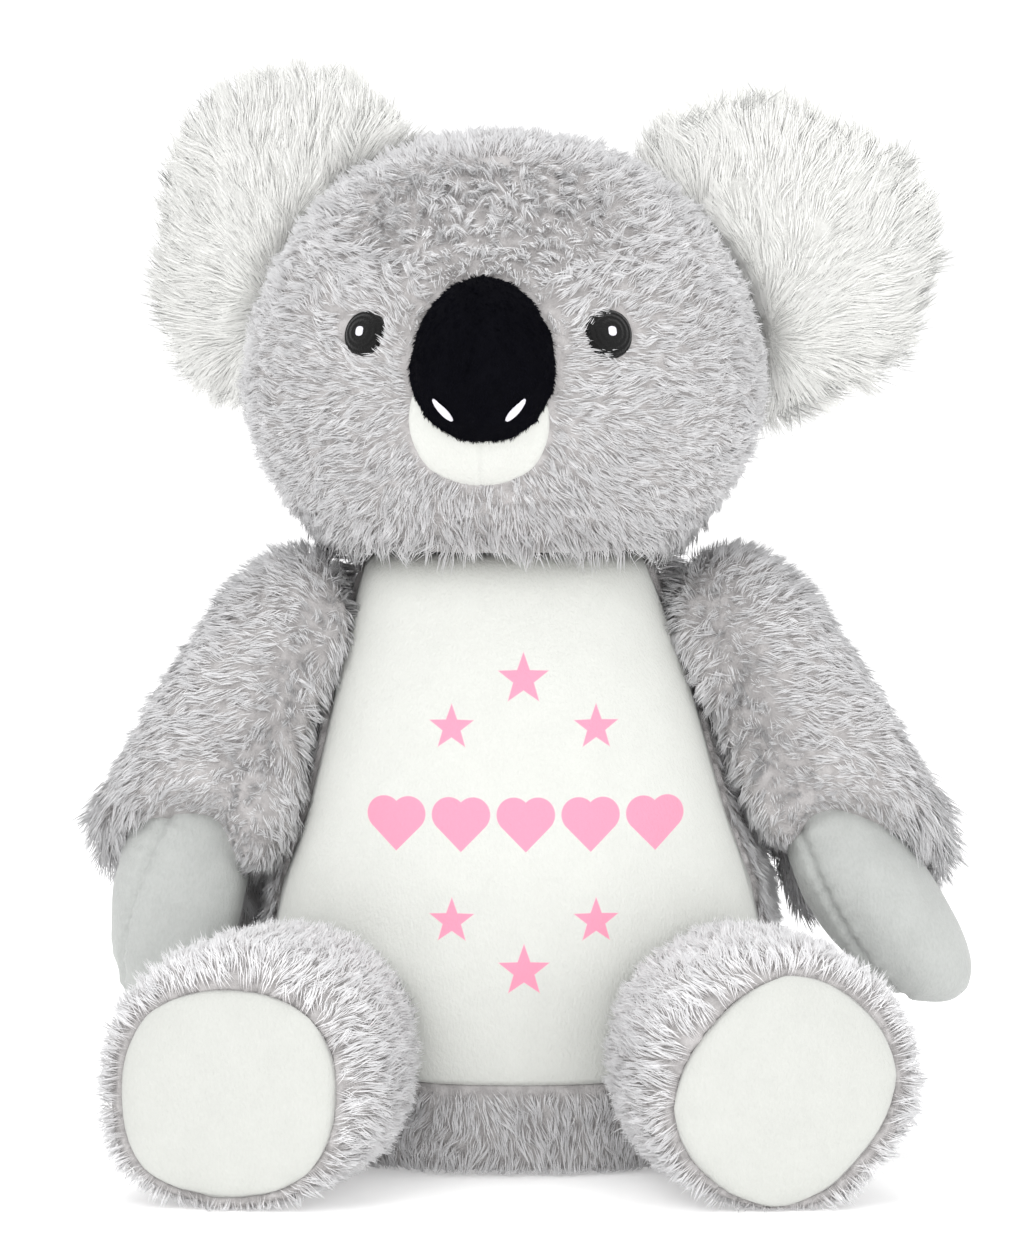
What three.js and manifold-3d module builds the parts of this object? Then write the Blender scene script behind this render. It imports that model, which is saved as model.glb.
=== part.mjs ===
// A sitting plush koala, in millimetres, +Z up. It faces -Y, so its own left side is +X.
// Every sewn panel is a hollow skin with a real opening, and the stuffing inside it is a body of its own.
import * as THREE from 'three';
import { mergeVertices } from 'three/addons/utils/BufferGeometryUtils.js';
import Module from 'manifold-3d';

// Clearances and cloth
const gap = 0.3;              // left between two pieces that touch
const wall = 3.2;             // plush fabric with its backing, pile pressed flat
const thinWall = 2;           // short velour of the belly, soles and paws
const flatCut = 0.5;          // depth of the flat on each form that stands on the floor
const overrun = 40;           // how far a cutting body passes the piece that it cuts

// Driving sizes
const neckHeight = 166;
const torsoHalfWidth = 72;
const torsoHalfDepth = 69;
const torsoOffset = -1;
const neckAside = -3;         // how far the torso leans to its right at the neck
const headHeight = 113;
const headHalfWidth = 71.5;
const headHalfDepth = 64;
const headForward = 6;
const headOffset = -4.5;
const headYawDegrees = -4.5;
const neckTurnDegrees = 30;
const neckRiseAbove = 8;

const muzzleReach = 9;
const muzzleHalfWidth = 34;
const muzzleHalfHeight = 30;

const noseHalfWidth = 21;
const noseHeight = 47.5;
const noseBottom = 29;
const noseReach = 16;
const noseSunk = 12;
const nostrilLength = 8;
const nostrilWidth = 2.6;
const nostrilThickness = 1.1;
const nostrilSpread = 9.6;
const nostrilHeight = 10.8;
const nostrilTiltDegrees = 38;

const chinHalfWidth = 22;
const chinHalfHeight = 17;
const chinHalfDepth = 18;
const chinBottom = 14.5;
const chinReach = 5;

const eyeRadius = 6.6;
const eyeThickness = 3.4;
const eyeSpread = 33;
const eyeHeight = 60;
const glintRadius = 1.3;
const glintThickness = 1.6;

const earHalfLength = 42.5;
const earHalfWidth = 39.5;
const earFrontBulge = 12;
const earBackBulge = 8;
const earBackward = 22;
const earLeanDegrees = 20;
const earTurnRightDegrees = 30;
const earTurnLeftDegrees = 8;
const earSpreadRight = 61.5;
const earSpreadLeft = 76;
const earHeightRight = 86;
const earHeightLeft = 80.5;
const earHingeSpread = 53;
const earHingeHeight = 85;
const earFoldDegrees = 20;

const shoulderHeight = 150;
const shoulderHalfWidth = 50;
const armRootReach = 8;
const armForward = 8;
const sleeveLength = 96;
const sleeveRise = 15;
const sleeveHalfWidth = 28.5;
const sleeveHalfDepth = 25;
const cuffDistance = 72;
const cuffTiltDegrees = 28;
const armpitDepth = 16;
const pawRoot = 56;
const pawRootRise = 5;
const pawTip = 125;
const pawHalfWidth = 21;
const pawHalfDepth = 15.5;
const pawBendRight = 14;
const pawBendLeft = -11;
const armOutDegrees = 25;
const armForwardDegrees = 6;
const armDropDegrees = -8;
const armRaiseDegrees = 42;
const armRaiseForwardDegrees = 37;

const hipSpread = 48;
const hipForward = 18;
const legLength = 117;
const legBack = 24;
const legHalfWidth = 37.8;
const legHalfHeight = 34;
const soleHalfWidth = 29.5;
const soleHalfHeight = 28.5;
const soleCentreHeight = 31;
const hipHingeForward = 34;
const hipInDegrees = 12;
const hipOutDegrees = 15;

// What differs between the two sides, as the toy sits: right is -X, left is +X
const sides = [
  {
    name: 'right', sign: -1, earSpread: earSpreadRight, earHeight: earHeightRight,
    earTurnDegrees: earTurnRightDegrees,
    legSplayDegrees: 13.5, pawRollDegrees: 12, pawBend: pawBendRight,
  },
  {
    name: 'left', sign: 1, earSpread: earSpreadLeft, earHeight: earHeightLeft,
    earTurnDegrees: earTurnLeftDegrees,
    legSplayDegrees: 10.5, pawRollDegrees: 62, pawBend: pawBendLeft,
  },
];

// Facets
const bodyFacets = 24;
const limbFacets = 18;
const trimFacets = 12;
const innerFacets = 14;

// Height above which the torso leans aside
const leanStartShare = 0.5;
// Rows of shares: height, half width, half depth, forward shift
const torsoShares = [
  [0, 0.78, 0.93, 0.04],
  [0.035, 0.88, 0.975, 0.045],
  [0.1, 0.945, 0.99, 0.045],
  [0.2, 0.985, 1, 0.045],
  [0.33, 1, 1, 0.05],
  [0.48, 0.955, 0.94, 0.05],
  [0.63, 0.86, 0.83, 0.04],
  [0.78, 0.745, 0.69, 0.02],
  [0.9, 0.645, 0.57, 0],
  [1, 0.56, 0.47, 0],
];
const headShares = [
  [0, 0.6, 0.54],
  [0.05, 0.73, 0.7],
  [0.12, 0.83, 0.82],
  [0.22, 0.93, 0.93],
  [0.36, 1, 1],
  [0.5, 0.985, 1],
  [0.64, 0.91, 0.93],
  [0.77, 0.78, 0.8],
  [0.88, 0.585, 0.6],
  [0.96, 0.34, 0.36],
];
const noseShares = [
  [0.05, 0.42, 0.5],
  [0.16, 0.78, 0.82],
  [0.32, 0.98, 1],
  [0.48, 1, 1],
  [0.64, 0.92, 0.94],
  [0.8, 0.72, 0.78],
  [0.92, 0.45, 0.52],
];
const sleeveShares = [
  [0.02, 0.34, 0.4],
  [0.07, 0.52, 0.62],
  [0.17, 0.71, 0.83],
  [0.34, 0.86, 0.94],
  [0.5, 0.95, 1],
  [0.66, 1.01, 1.03],
  [0.8, 0.99, 1.02],
  [0.9, 0.93, 0.93],
  [0.97, 0.7, 0.7],
];
const pawShares = [
  [0, 0.74, 0.76],
  [0.14, 0.9, 0.92],
  [0.32, 1.01, 1],
  [0.54, 1, 1],
  [0.74, 0.88, 0.9],
  [0.89, 0.64, 0.68],
  [0.97, 0.34, 0.38],
];
const legShares = [
  [0, 0.4, 0.5],
  [0.1, 0.6, 0.74],
  [0.25, 0.74, 0.9],
  [0.45, 0.85, 0.97],
  [0.64, 0.94, 1],
  [0.8, 1, 1],
  [0.91, 0.97, 0.97],
  [0.97, 0.87, 0.88],
  [0.995, 0.68, 0.7],
];
// Half of the belly panel's outline: share of the neck height, share of the torso's half width
const bellyShares = [
  [0.15, 0],
  [0.152, 0.3],
  [0.165, 0.55],
  [0.2, 0.74],
  [0.27, 0.88],
  [0.36, 0.95],
  [0.46, 0.9],
  [0.58, 0.8],
  [0.7, 0.73],
  [0.82, 0.67],
  [0.93, 0.59],
];
// Rows of a button from near its middle to near its rim: share of its half width
const buttonShares = [0.35, 0.72, 0.95];
const bodyRoundness = 2.25;
const limbRoundness = 2.1;
const buttonRoundness = 2;

const wasm = await Module();
wasm.setup();

const radians = THREE.MathUtils.degToRad;
const point = (x, y, z) => new THREE.Vector3(x, y, z);

// Closed body through rings of points; a point closes each end.
function loft(rings, start, end) {
  const around = rings[0].length;
  const points = [start, ...rings.flat(), end];
  const last = points.length - 1;
  const faces = [];
  const at = (ring, i) => 1 + ring * around + (i % around);
  for (let i = 0; i < around; i++) {
    faces.push(0, at(0, i + 1), at(0, i));
    for (let ring = 0; ring + 1 < rings.length; ring++) {
      faces.push(at(ring, i), at(ring, i + 1), at(ring + 1, i + 1));
      faces.push(at(ring, i), at(ring + 1, i + 1), at(ring + 1, i));
    }
    faces.push(at(rings.length - 1, i), at(rings.length - 1, i + 1), last);
  }
  return new THREE.BufferGeometry().setFromPoints(points).setIndex(faces);
}

// Ring of points in a level plane: a rounded oval of the given half sizes.
function ring(centre, halfX, halfY, roundness, around, turn = 0) {
  return Array.from({ length: around }, (_, i) => {
    const angle = (2 * Math.PI * i) / around;
    const power = 2 / roundness;
    const x = halfX * Math.sign(Math.cos(angle)) * Math.abs(Math.cos(angle)) ** power;
    const y = halfY * Math.sign(Math.sin(angle)) * Math.abs(Math.sin(angle)) ** power;
    const c = Math.cos(turn);
    const s = Math.sin(turn);
    return point(centre.x + x * c - y * s, centre.y + x * s + y * c, centre.z);
  });
}

function solid(geometry) {
  const bare = geometry.clone();
  bare.deleteAttribute('normal');
  bare.deleteAttribute('uv');
  const merged = mergeVertices(bare);
  return new wasm.Manifold(new wasm.Mesh({
    numProp: 3,
    vertProperties: new Float32Array(merged.attributes.position.array),
    triVerts: new Uint32Array(merged.index.array),
  }));
}

function geometryOf(body) {
  const mesh = body.getMesh();
  const geometry = new THREE.BufferGeometry();
  const places = new Float32Array(mesh.numVert * 3);
  for (let i = 0; i < mesh.numVert; i++) {
    places.set(mesh.vertProperties.subarray(i * mesh.numProp, i * mesh.numProp + 3), i * 3);
  }
  geometry.setAttribute('position', new THREE.BufferAttribute(places, 3));
  geometry.setIndex(new THREE.BufferAttribute(new Uint32Array(mesh.triVerts), 1));
  return geometry;
}

const moved = (geometry, matrix) => solid(geometry.clone().applyMatrix4(matrix));

// Turn about an axis through a pivot.
function turnAbout(pivot, axis, angle) {
  return new THREE.Matrix4()
    .makeTranslation(pivot.x, pivot.y, pivot.z)
    .multiply(new THREE.Matrix4().makeRotationAxis(axis, angle))
    .multiply(new THREE.Matrix4().makeTranslation(-pivot.x, -pivot.y, -pivot.z));
}

// Body with the larger piece taken out of it at every step of the joint's travel.
function clearOf(body, larger, pivot, axis, lowDegrees, highDegrees, steps, frame) {
  let left = body;
  for (let i = 0; i <= steps; i++) {
    const angle = -radians(lowDegrees + ((highDegrees - lowDegrees) * i) / steps);
    const place = frame.clone().invert().multiply(turnAbout(pivot, axis, angle));
    left = left.subtract(moved(larger, place));
  }
  return left;
}

// Everything below (or above) a level height, as a block.
function slab(height, below) {
  const side = 2 * (neckHeight + headHeight + overrun);
  const block = new THREE.BoxGeometry(side, side, side);
  block.translate(0, 0, below ? height - side / 2 : height + side / 2);
  return solid(block);
}

// Torso
function asideAt(up) {
  return torsoOffset + neckAside * (Math.max(0, up - leanStartShare) / (1 - leanStartShare));
}

function torsoForm(inset, facets = bodyFacets) {
  const height = neckHeight + flatCut;
  const lift = inset > 0 ? inset + flatCut : 0;
  const rows = torsoShares.map(([up, wide, deep, forward]) => ring(
    point(asideAt(up), -forward * torsoHalfDepth, -flatCut + lift + up * (height - lift)),
    wide * torsoHalfWidth - inset,
    deep * torsoHalfDepth - inset,
    bodyRoundness,
    facets,
  ));
  const [, wide, deep] = torsoShares.at(-1);
  rows.push(ring(
    point(asideAt(1), 0, neckHeight + neckRiseAbove),
    wide * torsoHalfWidth - inset - neckRiseAbove / 2,
    deep * torsoHalfDepth - inset - neckRiseAbove / 2,
    bodyRoundness,
    facets,
  ));
  return loft(
    rows,
    point(torsoOffset, 0, -flatCut + lift),
    point(asideAt(1), 0, neckHeight + neckRiseAbove),
  );
}

function bellyPrism(grow) {
  const [bottomShare] = bellyShares[4];
  const halfOutline = (sign) => {
    const half = bellyShares.map(([up, out]) => new THREE.Vector2(
      asideAt(up) + sign * (out * torsoHalfWidth + (out ? grow : 0)),
      up * neckHeight + (up < bottomShare ? -grow : 0),
    ));
    return [...half, new THREE.Vector2(half.at(-1).x, neckHeight + overrun)];
  };
  const shape = new THREE.Shape([...halfOutline(1), ...halfOutline(-1).slice(1).reverse()]);
  const prism = new THREE.ExtrudeGeometry(shape, {
    depth: torsoHalfDepth + overrun,
    bevelEnabled: false,
    steps: 1,
  });
  prism.rotateX(Math.PI / 2);
  return solid(prism);
}

// Head, in its own frame: the neck seam is at height 0
function headForm(inset, facets = bodyFacets) {
  const rows = headShares.map(([up, wide, deep]) => ring(
    point(0, -headForward, up * (headHeight - inset)),
    wide * headHalfWidth - inset,
    deep * headHalfDepth - inset,
    bodyRoundness,
    facets,
  ));
  const [, wide, deep] = headShares[0];
  rows.unshift(ring(
    point(0, -headForward, -neckRiseAbove),
    wide * headHalfWidth - inset - neckRiseAbove,
    deep * headHalfDepth - inset - neckRiseAbove,
    bodyRoundness,
    facets,
  ));
  const form = loft(
    rows,
    point(0, -headForward, -neckRiseAbove),
    point(0, -headForward, headHeight - inset),
  );
  const places = form.attributes.position;
  for (let i = 0; i < places.count; i++) {
    if (places.getY(i) < -headForward) {
      places.setY(i, places.getY(i) - muzzle(places.getX(i), places.getZ(i)));
    }
  }
  return form;
}

// How far the muzzle stands out of the face at a place on it.
function muzzle(x, z) {
  const across = x / muzzleHalfWidth;
  const up = (z - (noseBottom + noseHeight / 3)) / muzzleHalfHeight;
  return muzzleReach * Math.exp(-(across * across + up * up));
}

// Row of shares at a height, worked out between the rows around it.
function rowAt(rows, share) {
  const upper = rows.findIndex(([up]) => up > share);
  const low = rows[upper - 1];
  const high = rows[upper];
  const along = (share - low[0]) / (high[0] - low[0]);
  return low.map((value, column) => THREE.MathUtils.lerp(value, high[column], along));
}

// How far a ring of body roundness reaches out at a place across it, as a share.
function roundAt(across) {
  return (1 - Math.abs(across) ** bodyRoundness) ** (1 / bodyRoundness);
}

// Place on the face's skin.
function facePlace(x, z) {
  const [, wide, deep] = rowAt(headShares, z / headHeight);
  const out = headHalfDepth * deep * roundAt(x / (headHalfWidth * wide));
  return point(x, -headForward - out - muzzle(x, z), z);
}

// Way that a surface faces, from the function that gives its places.
function normalAt(placeAt, x, z) {
  const step = gap;
  const across = placeAt(x + step, z).sub(placeAt(x - step, z));
  const up = placeAt(x, z + step).sub(placeAt(x, z - step));
  return across.cross(up).normalize();
}

// Low round button of trim whose face looks along -Y.
function button(halfX, halfZ, halfThickness, facets = trimFacets) {
  const back = buttonShares.map((share) => [share, -1]);
  const front = buttonShares.map((share) => [share, 1]).reverse();
  const rows = [...back, [1, 0], ...front].map(([share, side]) => ring(
    point(0, 0, side * halfThickness * Math.sqrt(1 - share * share)),
    share * halfX,
    share * halfZ,
    buttonRoundness,
    facets,
  ));
  const form = loft(rows, point(0, 0, -halfThickness), point(0, 0, halfThickness));
  form.rotateX(Math.PI / 2);
  return form;
}

// Matrix that sets a button on a surface place so that it looks along the normal.
function seatAt(place, normal, roll = 0) {
  const turn = new THREE.Quaternion().setFromUnitVectors(point(0, -1, 0), normal);
  const spin = new THREE.Quaternion().setFromAxisAngle(point(0, 1, 0), roll);
  return new THREE.Matrix4().compose(place, turn.multiply(spin), point(1, 1, 1));
}

// Depth of the nose's flat back, sunk into the face.
function noseBack() {
  return facePlace(0, noseBottom + noseHeight / 2).y + noseSunk;
}

// Place on the nose's front.
function nosePlace(x, z) {
  const [, wide, deep] = rowAt(noseShares, (z - noseBottom) / noseHeight);
  const out = (noseSunk + noseReach) * deep * roundAt(x / (noseHalfWidth * wide));
  return point(x, noseBack() - out, z);
}

function noseForm(inset) {
  const back = noseBack();
  const reach = noseSunk + noseReach - inset;
  const rows = noseShares.map(([up, wide, deep]) => ring(
    point(0, back, noseBottom + inset + up * (noseHeight - 2 * inset)),
    wide * noseHalfWidth - inset,
    deep * reach,
    bodyRoundness,
    limbFacets,
  ));
  return loft(
    rows,
    point(0, back, noseBottom + inset),
    point(0, back, noseBottom + noseHeight - inset),
  );
}

function chinForm() {
  const form = button(chinHalfWidth, chinHalfHeight, chinHalfDepth, limbFacets);
  const z = chinBottom + chinHalfHeight;
  form.translate(0, facePlace(0, z).y + chinHalfDepth - chinReach, z);
  return form;
}

// Sleeve, in the arm's frame: the arm hangs along -Z from its root
function sleeveForm(inset, facets = limbFacets) {
  const length = sleeveRise + sleeveLength;
  const rows = sleeveShares.map(([down, wide, deep]) => ring(
    point(0, 0, -(sleeveLength - inset) + (1 - down) * (length - 2 * inset)),
    wide * sleeveHalfWidth - inset,
    deep * sleeveHalfDepth - inset,
    limbRoundness,
    facets,
  ));
  return loft(
    rows.reverse(),
    point(0, 0, -(sleeveLength - inset)),
    point(0, 0, sleeveRise - inset),
  );
}

function pawForm(side, inset, rootRise, facets = limbFacets) {
  const length = pawTip - pawRoot;
  const bend = (down) => side.sign * -side.pawBend * down * down;
  const turn = side.sign * radians(side.pawRollDegrees);
  const rows = pawShares.map(([down, wide, deep]) => ring(
    point(bend(down), 0, -pawRoot - down * (length - inset)),
    wide * pawHalfWidth - inset,
    deep * pawHalfDepth - inset,
    limbRoundness,
    facets,
    turn,
  ));
  const [, wide, deep] = pawShares[0];
  rows.unshift(ring(
    point(0, 0, -pawRoot + rootRise),
    wide * pawHalfWidth - inset,
    deep * pawHalfDepth - inset,
    limbRoundness,
    facets,
    turn,
  ));
  return loft(
    rows.reverse(),
    point(bend(1), 0, -pawTip + inset),
    point(0, 0, -pawRoot + rootRise),
  );
}

// Block below the cuff seam, moved along the arm. The seam is high in front and low at the back.
function belowCuff(shift) {
  const width = 2 * sleeveLength;
  const block = new THREE.BoxGeometry(width, width, width);
  block.translate(0, 0, -width / 2);
  block.rotateX(-radians(cuffTiltDegrees));
  block.translate(0, 0, -cuffDistance + shift);
  return solid(block);
}

// Leg, in its own frame: it points along -Y from the hip, and the floor is at height 0
function legForm(inset, facets = limbFacets) {
  const length = legLength + legBack;
  const rows = legShares.map(([along, wide, high]) => {
    const halfHigh = high * legHalfHeight;
    return ring(
      point(0, -halfHigh + flatCut, legBack - inset - along * (length - 2 * inset)),
      wide * legHalfWidth - inset,
      halfHigh - inset,
      limbRoundness,
      facets,
    );
  });
  const [, , startHigh] = legShares[0];
  const [, , endHigh] = legShares.at(-1);
  const form = loft(
    rows.reverse(),
    point(0, -endHigh * legHalfHeight + flatCut, -legLength + inset),
    point(0, -startHigh * legHalfHeight + flatCut, legBack - inset),
  );
  form.rotateX(-Math.PI / 2);
  return form;
}

function soleCylinder(grow) {
  const cylinder = new THREE.CylinderGeometry(1, 1, 1, 2 * trimFacets);
  cylinder.scale(soleHalfWidth + grow, overrun, soleHalfHeight + grow);
  cylinder.translate(0, -legLength, soleCentreHeight);
  return solid(cylinder);
}

// Hinges: each pivot and axis, in the frame of what carries the piece
function earHinge(side) {
  const lean = side.sign * radians(earLeanDegrees);
  return {
    pivot: point(side.sign * earHingeSpread, earBackward, earHingeHeight),
    axis: point(-Math.sin(lean), 0, Math.cos(lean)),
  };
}

function shoulderHinge(side) {
  const hanging = radians(armOutDegrees);
  const forward = radians(armRaiseForwardDegrees);
  const low = point(side.sign * Math.sin(hanging), 0, -Math.cos(hanging));
  const raised = point(side.sign * Math.cos(forward), -Math.sin(forward), 0);
  return {
    pivot: point(torsoOffset + side.sign * shoulderHalfWidth, -armForward, shoulderHeight),
    axis: low.cross(raised).normalize(),
  };
}

function hipHinge(side) {
  return {
    pivot: point(torsoOffset + side.sign * hipSpread, -hipForward - hipHingeForward, 0),
    axis: point(0, 0, 1),
  };
}

// Materials
const furGrey = { color: 0xc4c4c8, roughness: 0.95, metalness: 0 };
const earWhite = { color: 0xeceeea, roughness: 0.95, metalness: 0 };
const velourWhite = { color: 0xf0f1ec, roughness: 0.85, metalness: 0 };
const pawGrey = { color: 0xcdd0cd, roughness: 0.85, metalness: 0 };
const noseBlack = { color: 0x141419, roughness: 0.8, metalness: 0 };
const threadDark = { color: 0x2d2d2a, roughness: 0.5, metalness: 0 };
const threadPale = { color: 0xe6e4ee, roughness: 0.5, metalness: 0 };
const fibreWhite = { color: 0xf4f4f2, roughness: 1, metalness: 0 };

function addPiece(group, name, body, finish) {
  const mesh = new THREE.Mesh(geometryOf(body), new THREE.MeshStandardMaterial(finish));
  mesh.name = name;
  group.add(mesh);
  return mesh;
}

const koala = new THREE.Group();
const floor = slab(0, true);

// Torso: fur skin, belly panel and stuffing
const torsoOuter = solid(torsoForm(0)).subtract(floor).subtract(slab(neckHeight - gap / 2, false));
const torsoFur = torsoOuter.subtract(solid(torsoForm(wall, innerFacets)));
const torsoVelour = torsoOuter.subtract(solid(torsoForm(thinWall, innerFacets)));
addPiece(koala, 'torso_fur', torsoFur.subtract(bellyPrism(gap)), furGrey);
addPiece(koala, 'belly_panel', torsoVelour.intersect(bellyPrism(0)), velourWhite);
addPiece(
  koala,
  'torso_stuffing',
  solid(torsoForm(wall + gap, innerFacets)).subtract(slab(neckHeight - gap / 2, false)),
  fibreWhite,
);

// Head: fur skin, stuffing and the face
const head = new THREE.Group();
head.position.set(headOffset, 0, neckHeight);
head.rotation.z = radians(headYawDegrees);
koala.add(head);

const belowNeck = slab(gap / 2, true);
const headOuter = solid(headForm(0)).subtract(belowNeck);
addPiece(head, 'head_fur', headOuter.subtract(solid(headForm(wall, innerFacets))), furGrey);
addPiece(
  head,
  'head_stuffing',
  solid(headForm(wall + gap, innerFacets)).subtract(belowNeck),
  fibreWhite,
);
const headGrown = headForm(-gap);
const face = solid(headGrown);
const nose = solid(noseForm(0)).subtract(face);
addPiece(head, 'nose_pad', nose, noseBlack);
const noseGrown = solid(noseForm(-gap));
addPiece(head, 'chin_patch', solid(chinForm()).subtract(face).subtract(noseGrown), velourWhite);

// Nostrils, set on the front of the nose
const nostrilZ = noseBottom + nostrilHeight;
for (const side of sides) {
  const place = nosePlace(side.sign * nostrilSpread, nostrilZ);
  const normal = normalAt(nosePlace, side.sign * nostrilSpread, nostrilZ);
  const almond = button(nostrilWidth / 2, nostrilLength / 2, nostrilThickness, innerFacets);
  const seat = seatAt(place, normal, side.sign * radians(nostrilTiltDegrees));
  addPiece(head, `nostril_${side.name}`, moved(almond, seat).subtract(noseGrown), threadPale);
}

// Eyes: a round of dark thread with a pale glint on it
for (const side of sides) {
  const place = facePlace(side.sign * eyeSpread, eyeHeight);
  const normal = normalAt(facePlace, side.sign * eyeSpread, eyeHeight);
  const seat = seatAt(place, normal);
  const round = moved(button(eyeRadius, eyeRadius, eyeThickness / 2), seat);
  const roundGrown = moved(button(eyeRadius, eyeRadius, eyeThickness / 2 + gap), seat);
  addPiece(head, `eye_${side.name}`, round.subtract(face), threadDark);
  const glintPlace = place.clone().addScaledVector(normal, eyeThickness / 2);
  const glint = button(glintRadius, glintRadius, glintThickness / 2 + gap, innerFacets);
  addPiece(
    head,
    `eye_glint_${side.name}`,
    moved(glint, seatAt(glintPlace, normal)).subtract(roundGrown),
    threadPale,
  );
}

// Ears: a white front pad and a grey back pad that fold together where they are sewn to the head
const headSweepSteps = 4;
for (const side of sides) {
  const ear = new THREE.Group();
  ear.position.set(side.sign * side.earSpread, earBackward, side.earHeight);
  ear.rotation.order = 'ZYX';
  ear.rotation.set(0, side.sign * -radians(earLeanDegrees), side.sign * radians(side.earTurnDegrees));
  head.add(ear);
  ear.updateMatrix();
  const hinge = earHinge(side);
  const cut = (body) => clearOf(
    body, headGrown, hinge.pivot, hinge.axis, -earFoldDegrees, earFoldDegrees,
    headSweepSteps, ear.matrix,
  );
  const pad = (bulge, facing) => {
    const form = button(earHalfWidth, earHalfLength, bulge, bodyFacets);
    const half = new THREE.BoxGeometry(2 * earHalfLength, overrun, 2 * earHalfLength);
    half.translate(0, facing * (overrun + gap) / 2, 0);
    return cut(solid(form).intersect(solid(half)));
  };
  addPiece(ear, `ear_front_${side.name}`, pad(earFrontBulge, -1), earWhite);
  addPiece(ear, `ear_back_${side.name}`, pad(earBackBulge, 1), furGrey);
}

// Arms: a fur sleeve hemmed to a velour paw at its cuff, and stuffing
const armSweepSteps = 6;
const headPlaces = [-neckTurnDegrees, 0, neckTurnDegrees].map((turn) => new THREE.Matrix4()
  .makeTranslation(headOffset, 0, neckHeight)
  .multiply(new THREE.Matrix4().makeRotationZ(radians(headYawDegrees + turn))));
for (const side of sides) {
  const arm = new THREE.Group();
  arm.position.set(
    torsoOffset + side.sign * (shoulderHalfWidth + armRootReach), -armForward, shoulderHeight);
  arm.rotation.order = 'YXZ';
  arm.rotation.set(-radians(armForwardDegrees), side.sign * -radians(armOutDegrees), 0);
  koala.add(arm);
  arm.updateMatrix();
  const hinge = shoulderHinge(side);
  const clearOfTorso = (body, margin) => clearOf(
    body, torsoForm(-margin), hinge.pivot, hinge.axis, armDropDegrees, armRaiseDegrees,
    armSweepSteps, arm.matrix,
  );
  const clearOfHead = (body, margin) => headPlaces.reduce((left, place) => clearOf(
    left, headForm(-margin).applyMatrix4(place), hinge.pivot, hinge.axis, armRaiseDegrees / 2,
    armRaiseDegrees, armSweepSteps / 2, arm.matrix,
  ), body);
  // Space inside the sleeve: walled from the torso and the head, and open to the torso above the armpit.
  const hollow = (body, spare) => clearOfHead(
    clearOfTorso(body, gap + wall + spare).add(body.intersect(slab(spare - armpitDepth, false))),
    gap + wall + spare,
  );
  const cut = (body) => clearOfHead(clearOfTorso(body, gap), gap);

  const pawGrown = solid(pawForm(side, -gap, gap));
  const inside = solid(sleeveForm(wall, innerFacets)).subtract(belowCuff(wall));
  const sleeve = solid(sleeveForm(0)).subtract(belowCuff(0)).subtract(hollow(inside, 0));
  addPiece(arm, `sleeve_${side.name}`, cut(sleeve).subtract(pawGrown), furGrey);

  const pawInside = solid(pawForm(side, thinWall, pawRootRise, innerFacets));
  const paw = solid(pawForm(side, 0, 0)).subtract(clearOfTorso(pawInside, gap + thinWall));
  addPiece(arm, `paw_${side.name}`, cut(paw), pawGrey);

  const upper = solid(sleeveForm(wall + gap, innerFacets)).subtract(belowCuff(wall + gap));
  const lower = solid(pawForm(side, thinWall + gap, pawRootRise, innerFacets));
  const filling = hollow(upper.subtract(pawGrown), gap).add(clearOfTorso(lower, wall + 2 * gap));
  addPiece(arm, `arm_stuffing_${side.name}`, cut(filling), fibreWhite);
}

// Legs: a fur skin, a velour sole let into its front, and stuffing
const legSweepSteps = 2;
const torsoGrown = torsoForm(-gap);
for (const side of sides) {
  const leg = new THREE.Group();
  leg.position.set(torsoOffset + side.sign * hipSpread, -hipForward, 0);
  leg.rotation.z = side.sign * radians(side.legSplayDegrees);
  koala.add(leg);
  leg.updateMatrix();
  const hinge = hipHinge(side);
  const low = side.sign > 0 ? -hipInDegrees : -hipOutDegrees;
  const high = side.sign > 0 ? hipOutDegrees : hipInDegrees;
  const cut = (body) => clearOf(
    body, torsoGrown, hinge.pivot, hinge.axis, low, high, legSweepSteps, leg.matrix,
  );
  const outer = solid(legForm(0)).subtract(floor);
  const skin = outer.subtract(solid(legForm(wall, innerFacets)));
  const velour = outer.subtract(solid(legForm(thinWall, innerFacets)));
  addPiece(leg, `leg_fur_${side.name}`, cut(skin.subtract(soleCylinder(gap))), furGrey);
  addPiece(leg, `sole_${side.name}`, velour.intersect(soleCylinder(0)), velourWhite);
  addPiece(
    leg,
    `leg_stuffing_${side.name}`,
    cut(solid(legForm(wall + gap, innerFacets))),
    fibreWhite,
  );
}

export default koala;
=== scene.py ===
import math

import bmesh
import bpy
import numpy as np
from bpy.props import FloatProperty, FloatVectorProperty, PointerProperty
from mathutils import Matrix, Vector
from mathutils.bvhtree import BVHTree


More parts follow.
